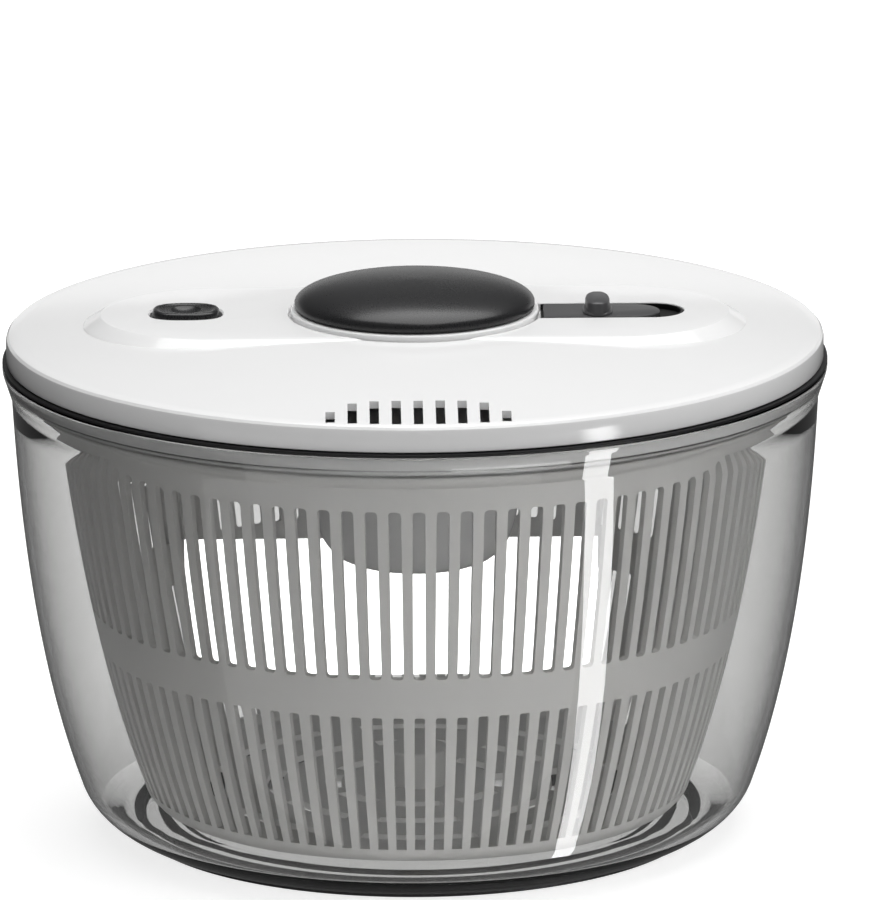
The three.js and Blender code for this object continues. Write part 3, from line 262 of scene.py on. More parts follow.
def sheet(columns, rows, place, is_open):
    """A sheet of cells between column and row lines, with some cells left out."""
    shell = bmesh.new()
    across, up = len(columns) - 1, len(rows) - 1
    bmesh.ops.create_grid(shell, x_segments=across, y_segments=up, size=0.5)
    cells = []
    for face in shell.faces:
        middle = face.calc_center_median()
        column, row = int((middle.x + 0.5) * across), int((middle.y + 0.5) * up)
        if is_open(column, row):
            cells.append(face)
    bmesh.ops.delete(shell, geom=cells, context="FACES")
    for corner in shell.verts:
        column = round((corner.co.x + 0.5) * across)
        row = round((corner.co.y + 0.5) * up)
        corner.co = Vector(place(columns[column], rows[row])) * MM
    return shell


def placed(name, shell, finish):
    """Makes a shell an object of the scene in one finish."""
    mesh = bpy.data.meshes.new(name)
    shell.to_mesh(mesh)
    shell.free()
    mesh.materials.append(finish)
    made = bpy.data.objects.new(name, mesh)
    scene.collection.objects.link(made)
    return made


def smoothed(mesh, crease=CREASE):
    """Shades a mesh smooth, with its edges sharp from an angle in degrees."""
    mesh.shade_smooth()
    mesh.set_sharp_from_angle(angle=math.radians(crease))


def piece(name, shell, finish, body, stands_for, crease=CREASE):
    """Makes a shell a finished piece that stands for a node of the model."""
    made = placed(name, shell, finish)
    smoothed(made.data, crease)
    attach(made, body)
    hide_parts(stands_for)
    return made


# ---------------------------------------------------------------------------------- finishes


class Field:
    """A number that varies over a surface; maths on it adds Math nodes."""

    def __init__(self, nodes, socket):
        self.nodes = nodes
        self.socket = socket

    def combine(self, operation, first, second):
        return self.nodes.node("ShaderNodeMath", {"operation": operation}, {0: first, 1: second})

    def __add__(self, other):
        return self.combine("ADD", self, other)

    __radd__ = __add__

    def __sub__(self, other):
        return self.combine("SUBTRACT", self, other)

    def __rsub__(self, other):
        return self.combine("SUBTRACT", other, self)

    def __mul__(self, other):
        return self.combine("MULTIPLY", self, other)

    __rmul__ = __mul__

    def __pow__(self, power):
        return self.combine("POWER", self, power)


class Nodes:
    """The node tree of a material or of the world."""

    def __init__(self, tree):
        self.tree = tree

    def node(self, kind, settings=None, inputs=None, output=0):
        made = self.tree.nodes.new(kind)
        for setting, value in (settings or {}).items():
            setattr(made, setting, value)
        for socket, value in (inputs or {}).items():
            self.feed(made.inputs[socket], value)
        return Field(self, made.outputs[output])

    def feed(self, socket, value):
        if isinstance(value, Field):
            self.tree.links.new(value.socket, socket)
        else:
            socket.default_value = value

    def ray(self, kind):
        """What is known of the ray that looks; used in the studio alone."""
        return self.node("ShaderNodeLightPath", output=kind)


class Finish(Nodes):
    """A material whose constants sit on the shader and whose variation comes from fields."""

    def __init__(self, name, **constants):
        self.material = bpy.data.materials.new(name)
        self.material.use_nodes = True
        super().__init__(self.material.node_tree)
        self.shader = self.tree.nodes["Principled BSDF"]
        self.wear(**constants)

    def place(self):
        return self.node("ShaderNodeTexCoord", output="Object")

    def noise(self, grain, detail=2.0):
        """Soft noise from 0 to 1 whose patches are about grain millimetres wide."""
        return self.node(
            "ShaderNodeTexNoise",
            {"noise_dimensions": "3D"},
            {"Vector": self.place(), "Scale": 1 / (grain * MM), "Detail": detail},
            "Fac",
        )

    def between(self, share, low, high):
        """A colour part of the way from low to high, each a triple or a field."""
        ends = [end if isinstance(end, Field) else (*end, 1) for end in (low, high)]
        return self.node(
            "ShaderNodeMix",
            {"data_type": "RGBA", "clamp_factor": True},
            {"Factor": share, 6: ends[0], 7: ends[1]},
            2,
        )

    def bump(self, height, depth):
        """Relief with its depth in millimetres."""
        inputs = {"Height": height, "Distance": depth * MM, "Strength": 1.0}
        return self.node("ShaderNodeBump", {}, inputs)

    def wear(self, **looks):
        """Sets or links the shader's sockets and gives the material."""
        for socket, value in looks.items():
            self.feed(self.shader.inputs[socket.replace("_", " ")], value)
        return self.material

    def clear_by(self, share):
        """Lets a share of each look pass through, nothing at 0 and all of it at 1."""
        surface = Field(self, self.shader.outputs[0])
        clear = self.node("ShaderNodeBsdfTransparent")
        mixed = self.node("ShaderNodeMixShader", inputs={0: share, 1: surface, 2: clear})
        self.feed(self.tree.nodes["Material Output"].inputs["Surface"], mixed)


def moulded(name, colour, roughness, grain, depth, tone):
    """Moulded plastic: faint flow marks in its colour and sheen over a fine surface grain."""
    finish = Finish(name)
    flow = finish.noise(28, 3)
    fine = finish.noise(grain, 3)
    darker = [channel * (1 - tone) for channel in colour]
    lighter = [min(channel * (1 + tone), 1) for channel in colour]
    return finish.wear(
        Base_Color=finish.between(flow, darker, lighter),
        Roughness=flow * 0.05 + fine * 0.06 + (roughness - 0.055),
        Normal=finish.bump(fine, depth),
    )


def smoky_clear():
    """Clear grey-tinted plastic whose tint is painted black where the look glances along it:
    painted shade that draws a dark outline along the bowl's edges.
    """
    finish = Finish("smoky_clear", Transmission_Weight=1.0, IOR=1.49)
    flow = finish.noise(60, 1)
    glancing = finish.node("ShaderNodeLayerWeight", output="Facing")
    face = finish.between(flow, (0.7, 0.7, 0.695), (0.72, 0.72, 0.715))
    return finish.wear(
        # Painted shade: the colour goes to black towards grazing views, giving a dark outline
        # along the silhouette.
        Base_Color=finish.between(glancing ** 10, face, (0.0, 0.0, 0.0)),
        Roughness=flow * 0.004,
    )


def brushed_steel():
    finish = Finish("steel", Metallic=1.0)
    brushed = finish.noise(0.5, 4)
    return finish.wear(
        Base_Color=finish.between(brushed, (0.56, 0.57, 0.59), (0.72, 0.73, 0.75)),
        Roughness=brushed * 0.14 + 0.24,
        Normal=finish.bump(brushed, 0.004),
    )


CLEAR = smoky_clear()
WHITE_GLOSS = moulded("white_gloss", (0.86, 0.86, 0.86), 0.13, 1.2, 0.001, 0.01)
WHITE_SATIN = moulded("white_satin", (0.83, 0.825, 0.81), 0.4, 0.7, 0.006, 0.03)
BLACK_PEBBLE = moulded("black_pebble", (0.015, 0.015, 0.016), 0.28, 0.5, 0.01, 0.1)
DARK_SATIN = moulded("dark_satin", (0.06, 0.06, 0.062), 0.36, 0.5, 0.008, 0.05)
# The liner's own dark colour, taken near-black so that it also gives painted shade: the shadow
# beyond the slide's end in the recess.
LINER_BLACK_AND_SHADE = moulded("liner_black_and_shade", (0.004, 0.004, 0.0045), 0.42, 0.5, 0.008, 0.05)
BLACK_RUBBER = moulded("black_rubber", (0.008, 0.008, 0.009), 0.55, 0.6, 0.01, 0.1)
NATURAL_POM = moulded("natural_pom", (0.8, 0.78, 0.7), 0.34, 0.9, 0.004, 0.02)
STEEL = brushed_steel()


# ---------------------------------------------------------------------------------- the bowl

BOWL_WALL = 2.2
FOOT_Z = 1.2
FLOOR_UNDER = 3.2
FLOOR_TOP = 5.4
RIM_RADIUS, RIM_TOP = 126, 145.3
SEAT_RADIUS, SEAT_Z = 122.8, 139.6  # the step inside the rim
POST_RADIUS, POST_TOP = 5, 18
GRIP_RINGS = ((77.5, 80.5), (85.0, 88.0))  # inner and outer radius of each non-slip ring
GRIP_RING_TOP = 3.1
RING_BITE = 0.03  # how far the rubber reaches into the wall round it


def make_bowl():
    corner = curve((89.6, FOOT_Z), (101.2, 6.0), (104.1, 16), 10)
    wall = curve((104.1, 16), (119.5, 59.4), (123.2, 133.8), 28)
    outside = corner + wall[1:]
    inside = [point for point in moved_in(outside, BOWL_WALL) if point[1] > FLOOR_TOP + 1]
    grooves = []
    for inner, outer in GRIP_RINGS:
        grooves += [
            (inner, FOOT_Z), (inner, GRIP_RING_TOP), (outer, GRIP_RING_TOP), (outer, FOOT_Z),
        ]
    shell = turned([
        (0, FLOOR_UNDER),
        (GRIP_RINGS[0][0] - 3.3, FLOOR_UNDER, 0.4),
        (GRIP_RINGS[0][0] - 1.9, FOOT_Z, 0.3),
        *grooves,
        *outside,
        (123.2, 135.2, 0.5),
        (RIM_RADIUS, 143.9, 0.8),
        (RIM_RADIUS, RIM_TOP, 0.7),
        (SEAT_RADIUS, RIM_TOP, 0.3),
        (SEAT_RADIUS, SEAT_Z, 1.5),
        *reversed(inside),
        (inside[0][0] - 6, FLOOR_TOP),
        (POST_RADIUS + 2, FLOOR_TOP, 0.4),
        (POST_RADIUS, 7.2, 0.6),
        (POST_RADIUS, POST_TOP, 0.8),
        (0, POST_TOP),
    ])
    piece("bowl_clear", shell, CLEAR, "bowl", "bowl")


def make_grip_rings():
    """The non-slip rings, each moulded into its groove so that no air lies round it."""
    nodes = ("inner_grip_ring", "base_grip_ring")
    for node, (inner, outer) in zip(nodes, GRIP_RINGS):
        shell = turned([
            (inner - RING_BITE, 0.2),
            (inner + 0.2, 0),
            (outer - 0.2, 0),
            (outer + RING_BITE, 0.2),
            (outer + RING_BITE, GRIP_RING_TOP + RING_BITE),
            (inner - RING_BITE, GRIP_RING_TOP + RING_BITE),
        ])
        piece(node + "_moulded", shell, BLACK_RUBBER, "bowl", node)


# -------------------------------------------------------------------------------- the basket

BASKET_WALL = 2.0
WALL_FOOT, WALL_BULGE, WALL_SHOULDER = (84, 13), (100.5, 57), (109, 128)
SLOTS_AROUND = 96
LOWER_SLOT, UPPER_SLOT = 3.1, 3.8
# Each tier's slots: bottom, top, width and the rounding of their ends.
TIERS = ((13, 58.7, LOWER_SLOT, 0.5), (71.3, 125, UPPER_SLOT, 1.0))
RIM_UNDER, BASKET_TOP = 133.9, 136.5
BASKET_FLOOR = 9.5
FLOOR_SLOT_ROWS = ((23.5, 28.5), (41.5, 46.5), (59.5, 64.5))  # inner and outer radius
FLOOR_INSIDE, FLOOR_EDGE = 9.4, 77
FLOOR_SECTORS, SLOT_SHARE = 8, 0.72  # and the share of its sector that a slot takes
COVE_INSIDE = 76  # the floor overlaps the cove from here to its own edge
RIM_OUTSIDE = 111
CUP_INSIDE, CUP_RADIUS, CUP_TOP = 7.8, 9.8, 22.6  # the boss over the bowl's post
LUGS = 8


def wall_radius(height):
    """Outer radius of the basket's wall at a height, on one curve all the way up."""
    (_, low), (_, pull), (_, high) = WALL_FOOT, WALL_BULGE, WALL_SHOULDER
    square = low - 2 * pull + high
    linear = 2 * (pull - low)
    share = (-linear + math.sqrt(linear**2 - 4 * square * (low - height))) / (2 * square)
    return (
        WALL_FOOT[0] * (1 - share) ** 2
        + WALL_BULGE[0] * 2 * share * (1 - share)
        + WALL_SHOULDER[0] * share**2
    )


def make_wall():
    """The slotted wall: one slot's share of the turn, repeated and given its thickness."""
    rows = []
    for bottom, top, width, corner in TIERS:
        ends = (0, 0.3 * corner, corner)
        narrowing = (corner, 0.3 * corner, 0)
        for rise, narrow in zip(ends, narrowing):
            rows.append((bottom + rise, width / 2 - narrow))
        for step in range(1, 6):
            rows.append((bottom + corner + (top - bottom - 2 * corner) * step / 6, width / 2))
        for rise, narrow in zip(reversed(ends), reversed(narrowing)):
            rows.append((top - rise, width / 2 - narrow))
    per_tier = len(rows) // 2
    rows += [(128, UPPER_SLOT / 2), (131, UPPER_SLOT / 2), (RIM_UNDER - 0.8, UPPER_SLOT / 2)]
    half_turn = math.pi / SLOTS_AROUND

    def place(column, row):
        height, slot_half = row
        radius = wall_radius(height)
        turn = math.copysign(half_turn if abs(column) == 2 else slot_half / radius, column)
        return radius * math.cos(turn), radius * math.sin(turn), height

    def is_open(column, row):
        in_tier = row < per_tier - 1 or per_tier <= row < 2 * per_tier - 1
        return column == 1 and in_tier

    shell = repeated(sheet((-2, -1, 1, 2), rows, place, is_open), SLOTS_AROUND)
    close_up(shell)
    bmesh.ops.solidify(shell, geom=shell.faces[:], thickness=BASKET_WALL * MM)
    return close_up(shell)


def make_floor():
    """The flat floor with its rows of arc slots, which reaches into the coved corner that
    make_basket turns up to the wall.
    """
    rows = [radius for row in FLOOR_SLOT_ROWS for radius in row]
    radii = [FLOOR_INSIDE, *rows, FLOOR_EDGE]
    sector, bar_edge = 2 * math.pi / FLOOR_SECTORS, math.radians(19)
    turns = [sector * SLOT_SHARE * (step / 8 - 0.5) for step in range(9)]
    turns = [-sector / 2, -bar_edge] + turns + [bar_edge, sector / 2]

    def place(turn, radius):
        return radius * math.cos(turn), radius * math.sin(turn), BASKET_FLOOR

    def is_open(column, row):
        return 2 <= column < 10 and row in (1, 3, 5)

    shell = repeated(sheet(turns, radii, place, is_open), FLOOR_SECTORS)
    close_up(shell)
    raised = bmesh.ops.extrude_face_region(shell, geom=shell.faces[:])
    tops = [part for part in raised["geom"] if isinstance(part, bmesh.types.BMVert)]
    bmesh.ops.translate(shell, verts=tops, vec=(0, 0, BASKET_WALL * MM))
    return close_up(shell)


def make_basket():
    cove = turned([
        (COVE_INSIDE, BASKET_FLOOR),
        (wall_radius(13) - 2.6, BASKET_FLOOR, 1.0),
        (wall_radius(13), 12.4, 1.0),
        (wall_radius(14.2), 14.2),
        (wall_radius(14.2) - BASKET_WALL, 14.2),
        (wall_radius(13) - BASKET_WALL - 1, BASKET_FLOOR + BASKET_WALL, 1.0),
        (COVE_INSIDE, BASKET_FLOOR + BASKET_WALL),
    ])
    rim = turned([
        (wall_radius(131), 131),
        (wall_radius(132.9), 132.9, 0.6),
        (RIM_OUTSIDE, RIM_UNDER, 0.6),
        (RIM_OUTSIDE, BASKET_TOP, 1.2),
        (wall_radius(132.9) - BASKET_WALL, BASKET_TOP, 0.8),
        (wall_radius(131) - BASKET_WALL, 131),
    ])
    boss = turned([
        (CUP_INSIDE, BASKET_FLOOR),
        (CUP_RADIUS, BASKET_FLOOR),
        (CUP_RADIUS, CUP_TOP, 1.0),
        (0, CUP_TOP),
        (0, CUP_TOP - BASKET_WALL),
        (CUP_INSIDE, CUP_TOP - BASKET_WALL),
    ], SMALL_STEPS)
    lugs = repeated(box_shell((101.5, -2.6, 130), (108.6, 2.6, BASKET_TOP), 0.5), LUGS)
    shell = joined(make_wall(), make_floor(), cove, rim, boss, lugs)
    piece("basket_slotted", shell, WHITE_SATIN, "basket", "basket")


# ------------------------------------------------------------------------------------ the lid

LID_RADIUS, LID_EDGE, LID_TOP = 124.8, 154.6, 160.1
SKIRT_BOTTOM = 146.9
LID_WALL = 2.2
PLUG_OUTSIDE, PLUG_INSIDE, PLUG_BOTTOM = 120.6, 118.6, 141.0
WELL_RADIUS, WELL_FLOOR = 38.5, 158.6
ABOVE_LID = 161  # where the cutters end
BOSS_TOP = 158.9  # inside the plateau, where the bosses under the lid end
VENTS_PER_SIDE, VENT_PITCH, VENT_HALF_WIDTH, VENT_LENGTH = 4, 6.5, 1.375, 21.9
GUIDE_BORE, GUIDE_RADIUS, GUIDE_BOTTOM = 25.4, 28.6, 112.6
BRAKE_X = -69.8
LATCH_SLOT = (53.9, 63.7)
KEYS = 4  # between the knob's neck and the lid's guide tube


def crown(radius):
    """Height of the lid's domed top at a radius."""
    return LID_EDGE + (LID_TOP - LID_EDGE) * (1 - (radius / LID_RADIUS) ** 2)


def make_vents():
    """Cutters for the nine air vents, shorter towards the sides."""
    vents = []
    for place in range(-VENTS_PER_SIDE, VENTS_PER_SIDE + 1):
        x = place * VENT_PITCH
        outer = -math.sqrt((LID_RADIUS - 3.2) ** 2 - x**2)
        length = VENT_LENGTH * math.sqrt(1 - (abs(place) / (VENTS_PER_SIDE + 0.25)) ** 3.6)
        vents.append(box_shell(
            (x - VENT_HALF_WIDTH, outer, LID_EDGE - 6),
            (x + VENT_HALF_WIDTH, outer + length, LID_TOP + 2),
        ))
    return joined(*vents)


def make_lid():
    top = [(radius, crown(radius)) for radius in range(0, 121, 6)]
    under = [(radius, crown(radius) - LID_WALL) for radius in range(114, -1, -6)]
    shell = turned([
        *top,
        (LID_RADIUS, LID_EDGE, 1.8),
        (LID_RADIUS, SKIRT_BOTTOM, 0.4),
        (LID_RADIUS - LID_WALL, SKIRT_BOTTOM, 0.3),
        (LID_RADIUS - LID_WALL, LID_EDGE - LID_WALL),
        (PLUG_OUTSIDE, crown(PLUG_OUTSIDE) - LID_WALL),
        (PLUG_OUTSIDE, PLUG_BOTTOM, 0.5),
        (PLUG_INSIDE, PLUG_BOTTOM, 0.5),
        (PLUG_INSIDE, crown(PLUG_INSIDE) - LID_WALL),
        *under,
    ])
    plateau = stacked(stadium_ring(-96, 96, 34.5, segments=128), [
        (156.6, 5.2), (157.2, 4.4), (158.0, 3.1), (158.8, 1.8), (159.5, 0.7), (159.95, -0.1),
        (LID_TOP, -1.4),
    ])
    shell = combined(shell, plateau, "UNION")
    well_wall = stacked(round_ring(WELL_RADIUS + LID_WALL), [(156.4, 0), (BOSS_TOP, 0)])
    latch_boss = stacked(stadium_ring(27, 84.5, 12.1, True), [(155.2, 0), (BOSS_TOP, 0)])
    brake_boss = stacked(oblong_ring(BRAKE_X, 12.6, 10.35), [(150.8, 0), (BOSS_TOP, 0)])
    guide = stacked(round_ring(GUIDE_RADIUS), [
        (GUIDE_BOTTOM, -0.3), (GUIDE_BOTTOM + 0.3, 0), (158, 0),
    ])
    for boss in (well_wall, latch_boss, brake_boss, guide):
        shell = combined(shell, boss, "UNION")
    well = stacked(round_ring(WELL_RADIUS), [
        (WELL_FLOOR, -0.2), (WELL_FLOOR + 0.2, 0), (159.5, 0), (159.9, 0.2), (160.2, 0.6),
        (ABOVE_LID, 0.6),
    ])
    guide_bore = stacked(round_ring(GUIDE_BORE), [(112, 0), (160, 0)])
    keyways = repeated(box_shell((24.4, -1.7, 112), (26.4, 1.7, 160)), KEYS)
    keyways = rotated(keyways, 180 / KEYS, "Z")
    ring_groove = turned(
        [(27.4, 134.1), (29.6, 134.1), (29.6, 136.9), (27.4, 136.9)], KNOB_STEPS
    )
    recess = stacked(stadium_ring(37, 82.3, 9.9, True), [
        (157.4, -0.2), (157.6, 0), (159.9, 0), (160.2, 0.2), (ABOVE_LID, 0.2),
    ])
    slot = box_shell((LATCH_SLOT[0], -2.4, 148), (LATCH_SLOT[1], 2.4, 160))
    bolt_way = box_shell((24, -4, 149), (74.3, 4, 153))
    brake_hole = stacked(oblong_ring(BRAKE_X, 11.1, 8.85), [
        (152.1, 0), (159.6, 0), (160.2, 0.5), (ABOVE_LID, 0.5),
    ])
    stem_hole = stacked(round_ring(3.4, BRAKE_X, SMALL_STEPS), [(149, 0), (154, 0)])
    tools = (
        well, guide_bore, keyways, ring_groove, recess, slot, bolt_way, brake_hole, stem_hole,
        make_vents(),
    )
    shell = close_up(cut(shell, *tools))
    piece("lid_shell", shell, WHITE_GLOSS, "lid", "lid_casing", crease=22)


def make_seal_painted_shade():
    # Painted shade: this ring is black rubber so that it draws the dark line of shadow in the gap
    # between the lid's skirt and the bowl's rim.
    inside, lip, lip_bottom, under, top = 120.9, 122.4, 144.2, 145.6, 146.6
    shell = turned([
        (inside, lip_bottom, 0.3),
        (lip, lip_bottom, 0.3),
        (lip, under),
        (RIM_RADIUS, under, 0.3),
        (RIM_RADIUS, top, 0.3),
        (inside, top, 0.2),
    ])
    piece("rim_seal_painted_shade", shell, BLACK_RUBBER, "lid", "lid_seal")


# ----------------------------------------------------------------------------------- the knob

FLANGE_TOP, FLANGE_UNDER = 161.4, 158.9
CAP_BOTTOM, CAP_TOP = 161.7, 170.3
CAP_RADIUS = 36.65
FLANGE_RADIUS = 37.9
NECK_INSIDE, NECK_RADIUS, NECK_BOTTOM = 23, 25, 99.9
SCREW_INSIDE, SCREW_BOSS, SPRING_STEM, BOSS_BOTTOM = 2.2, 7.0, 9.5, 152.4
SPIGOT_INSIDE, SPIGOT_RADIUS, SPIGOT_TOP = 31.15, 32.95, 164.4  # the cap snaps over it


def make_knob_body():
    shell = turned([
        (SCREW_INSIDE, FLANGE_UNDER),
        (SCREW_BOSS, FLANGE_UNDER),
        (SCREW_BOSS, BOSS_BOTTOM),
        (SPRING_STEM, BOSS_BOTTOM, 0.4),
        (SPRING_STEM, FLANGE_UNDER, 0.5),
        (NECK_INSIDE, FLANGE_UNDER, 0.8),
        (NECK_INSIDE, NECK_BOTTOM, 0.5),
        (NECK_RADIUS, NECK_BOTTOM, 0.6),
        (NECK_RADIUS, FLANGE_UNDER, 0.4),
        (FLANGE_RADIUS, FLANGE_UNDER, 0.6),
        (FLANGE_RADIUS, FLANGE_TOP, 0.7),
        (SPIGOT_RADIUS, FLANGE_TOP),
        (SPIGOT_RADIUS, SPIGOT_TOP, 0.3),
        (SPIGOT_INSIDE, SPIGOT_TOP, 0.3),
        (SPIGOT_INSIDE, FLANGE_TOP),
        (SCREW_INSIDE, FLANGE_TOP),
    ], KNOB_STEPS)
    low, high = (24, -1.3, NECK_BOTTOM + 2), (26, 1.3, FLANGE_UNDER - 1)
    keys = repeated(box_shell(low, high, 0.3), KEYS)
    shell = joined(shell, rotated(keys, 180 / KEYS, "Z"))
    piece("knob_neck", shell, WHITE_GLOSS, "knob", "knob_body")


def make_knob_cap():
    edge, pull = (CAP_RADIUS, CAP_BOTTOM + 2), (CAP_RADIUS - 2, CAP_TOP - 0.6)
    dome = curve(edge, pull, (0, CAP_TOP), 24)
    inside = SPIGOT_RADIUS + 0.3
    shell = turned([
        (inside, CAP_BOTTOM),
        (CAP_RADIUS, CAP_BOTTOM, 0.9),
        *dome,
        (0, 168.1),
        (20, 167.3),
        (inside, 165.4),
    ])
    piece("knob_dome", shell, BLACK_PEBBLE, "knob", "knob_cap", crease=40)


# ------------------------------------------------------------------ the dome and drive disc

HOOKS = 4  # of the dome, in the disc's slots
DOME_RADIUS, DOME_TOP = 39.5, 139.1
HUB_SEAT, SEAT_FLOOR = 33.9, 136.6  # where the disc's hub sits in the dome
TOWER_INSIDE, TOWER_RADIUS, TOWER_TOP = 19.2, 21.2, 131.4
SHELF_BORE, SHELF_UNDER, SHELF_TOP = 8.5, 112.6, 114.6  # in the tower, under the nut
HUB_INSIDE, HUB_RADIUS, HUB_BOTTOM = 29, 33.5, 136.9
DISC_UNDER, DISC_TOP, DISC_RADIUS = 139.4, 141.4, 112
KEY_RING, KEY_RING_BOTTOM = (101.4, 103.5), 131  # inner and outer radius


def make_dome():
    bend = curve((24, 84.4), (30.6, 89), (31.2, 100), 10)
    shell = turned([
        (0, 82),
        (20, 82.6, 1.5),
        *bend,
        (33.8, 134.1, 0.8),
        (37.5, 136.6, 0.8),
        (DOME_RADIUS, 137.5, 0.6),
        (DOME_RADIUS, DOME_TOP, 0.3),
        (HUB_SEAT, DOME_TOP),
        (HUB_SEAT, SEAT_FLOOR),
        (31.8, SEAT_FLOOR),
        (31.8, 133.1),
        (29.2, 101),
        (26.8, 92),
        (22.2, 85.2, 0.5),
        (TOWER_RADIUS, 86, 0.5),
        (TOWER_RADIUS, TOWER_TOP, 0.3),
        (TOWER_INSIDE, TOWER_TOP, 0.3),
        (TOWER_INSIDE, SHELF_TOP),
        (SHELF_BORE, SHELF_TOP),
        (SHELF_BORE, SHELF_UNDER),
        (TOWER_INSIDE, SHELF_UNDER),
        (TOWER_INSIDE, 85.4),
        (18.2, 84.4),
        (0, 84.4),
    ], KNOB_STEPS)
    drain = stacked(stadium_ring(92.8, 101.2, 1.5), [(22, 0), (34, 0)])
    drain = rotated(rotated(drain, -90, "Y"), 180 - 54, "Z")
    shell = cut(shell, drain)
    hooks = joined(
        box_shell((35.5, -5, 137.6), (37.5, 5, 143.1), 0.3),
        box_shell((36, -5, 141.7), (38.7, 5, 143.1), 0.3),
    )
    shell = joined(close_up(shell), repeated(hooks, HOOKS))
    piece("dome_shell", shell, WHITE_GLOSS, "disc", "drive_dome")


def make_disc():
    """The disc under the lid, with its hub, stiffening ring and notched key ring."""
    inner, outer = KEY_RING
    shell = turned([
        (HUB_INSIDE, HUB_BOTTOM, 0.3),
        (HUB_RADIUS, HUB_BOTTOM, 0.4),
        (HUB_RADIUS, DISC_UNDER, 0.6),
        (59, DISC_UNDER, 0.6),
        (59.6, 138.2, 0.4),
        (61.4, 138.2, 0.4),
        (62, DISC_UNDER, 0.6),
        (inner, DISC_UNDER, 0.6),
        (inner, KEY_RING_BOTTOM, 0.4),
        (outer, KEY_RING_BOTTOM, 0.4),
        (outer, 138, 0.4),
        (DISC_RADIUS, 138, 0.5),
        (DISC_RADIUS, 139.6, 0.5),
        (outer + 1, 139.6, 0.5),
        (outer, DISC_TOP, 0.8),
        (HUB_INSIDE, DISC_TOP, 0.3),
    ])
    low, high = (inner - 1, -3.4, KEY_RING_BOTTOM - 1), (outer + 1, 3.4, 137.3)
    notches = repeated(box_shell(low, high), LUGS)
    hook_slots = repeated(box_shell((35.2, -5.4, 138.4), (39, 5.4, 142.4)), HOOKS)
    shell = close_up(cut(shell, notches, hook_slots))
    piece("disc_plate", shell, WHITE_GLOSS, "disc", "drive_disc")


# --------------------------------------------------------------------------- latch and brake

GRIP_X, GRIP_HALF_WIDTH = 55.8, 8.5
SPRING_RADIUS, SPRING_WIRE, SPRING_TURNS = 4.7, 0.8, 3
SPRING_BOTTOM, SPRING_TOP = 152.4, 159.4


def make_liner():
    shell = stacked(stadium_ring(38.6, 82, 9.6, True), [
        (157.7, 0), (159.75, 0), (159.9, -0.15),
    ])
    inside = stacked(stadium_ring(37.6, 81.3, 8.9, True), [(158.4, 0), (ABOVE_LID, 0)])
    slot = box_shell((LATCH_SLOT[0], -2.2, 157), (LATCH_SLOT[1], 2.2, ABOVE_LID))
    knob_side = stacked(round_ring(38.6), [(157, 0), (ABOVE_LID, 0)])
    shell = close_up(cut(shell, inside, slot, knob_side))
    # Painted shade: the liner's near-black finish also stands for the shadow beyond the slide's
    # end.
    piece("latch_well", shell, LINER_BLACK_AND_SHADE, "lid", "latch_liner")


def make_slide():
    shell = stacked(stadium_ring(39.3, 74.9, GRIP_HALF_WIDTH, True), [
        (158.7, -0.2), (158.9, 0), (159.7, 0), (160.0, -0.2), (LID_TOP, -0.5),
    ])
    knob_side = stacked(round_ring(39.3), [(157, 0), (ABOVE_LID, 0)])
    shell = cut(shell, knob_side)
    foot = stacked(oblong_ring(GRIP_X, 4.6, GRIP_HALF_WIDTH), [
        (159.5, 0), (160.5, 0), (160.9, -0.25), (161.1, -0.6),
    ])
    grip = stacked(oblong_ring(GRIP_X, 3.8, GRIP_HALF_WIDTH), [
        (159.5, 0), (163.4, -0.1), (163.9, -0.35), (164.2, -0.9),
    ])
    post = box_shell((GRIP_X - 1.5, -1.5, 149.7), (GRIP_X + 1.5, 1.5, 159.1), 0.2)
    shell = joined(close_up(shell), foot, grip, post)
    piece("latch_slider", shell, DARK_SATIN, "latch", "latch_slide")


def make_brake():
    shell = stacked(oblong_ring(BRAKE_X, 10.2, 8.1), [
        (155.5, -0.2), (155.7, 0), (160.7, 0), (161.2, -0.15), (161.55, -0.5), (161.7, -1.0),
        (161.65, -1.6), (161.4, -2.1), (161.3, -2.8),
    ])
    dish = turned([
        (0, 160.1), (3, 160.35), (4.4, 160.9), (5.2, 161.6), (5.2, 163), (0, 163),
    ], 64)
    bmesh.ops.translate(dish, verts=dish.verts[:], vec=(BRAKE_X * MM, 0, 0))
    spring_well = stacked(round_ring(5.5, BRAKE_X, SMALL_STEPS), [(155, 0), (159.7, 0)])
    shell = cut(shell, dish, spring_well)
    stem = stacked(round_ring(3, BRAKE_X, SMALL_STEPS), [(150, -1), (150.2, 0), (160, 0)])
    shell = joined(close_up(shell), stem)
    piece("brake_cap", shell, BLACK_PEBBLE, "brake", "brake_button")


def make_brake_spring():
    """A coil that shortens as the button goes down."""
    shell = bmesh.new()
    steps = SPRING_TURNS * SMALL_STEPS
    bmesh.ops.create_circle(shell, segments=12, radius=SPRING_WIRE / 2 * MM)
    rotated(shell, 90, "X")
    start = (SPRING_RADIUS * MM, 0, (SPRING_BOTTOM + SPRING_WIRE / 2) * MM)
    bmesh.ops.translate(shell, verts=shell.verts[:], vec=start)
    rise = SPRING_TOP - SPRING_BOTTOM - SPRING_WIRE
    bmesh.ops.spin(
        shell,
        geom=shell.verts[:] + shell.edges[:],
        cent=(0, 0, 0),
        axis=(0, 0, 1),
        dvec=(0, 0, rise / steps * MM),
        angle=2 * math.pi * SPRING_TURNS,
        steps=steps,
    )
    bmesh.ops.holes_fill(shell, edges=shell.edges[:], sides=0)
    bmesh.ops.translate(shell, verts=shell.verts[:], vec=(BRAKE_X * MM, 0, 0))
    bmesh.ops.recalc_face_normals(shell, faces=shell.faces[:])
    made = piece("brake_coil", shell, STEEL, "lid", "brake_spring")
    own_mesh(made)


# ------------------------------------------------------------- nodes that keep their own mesh

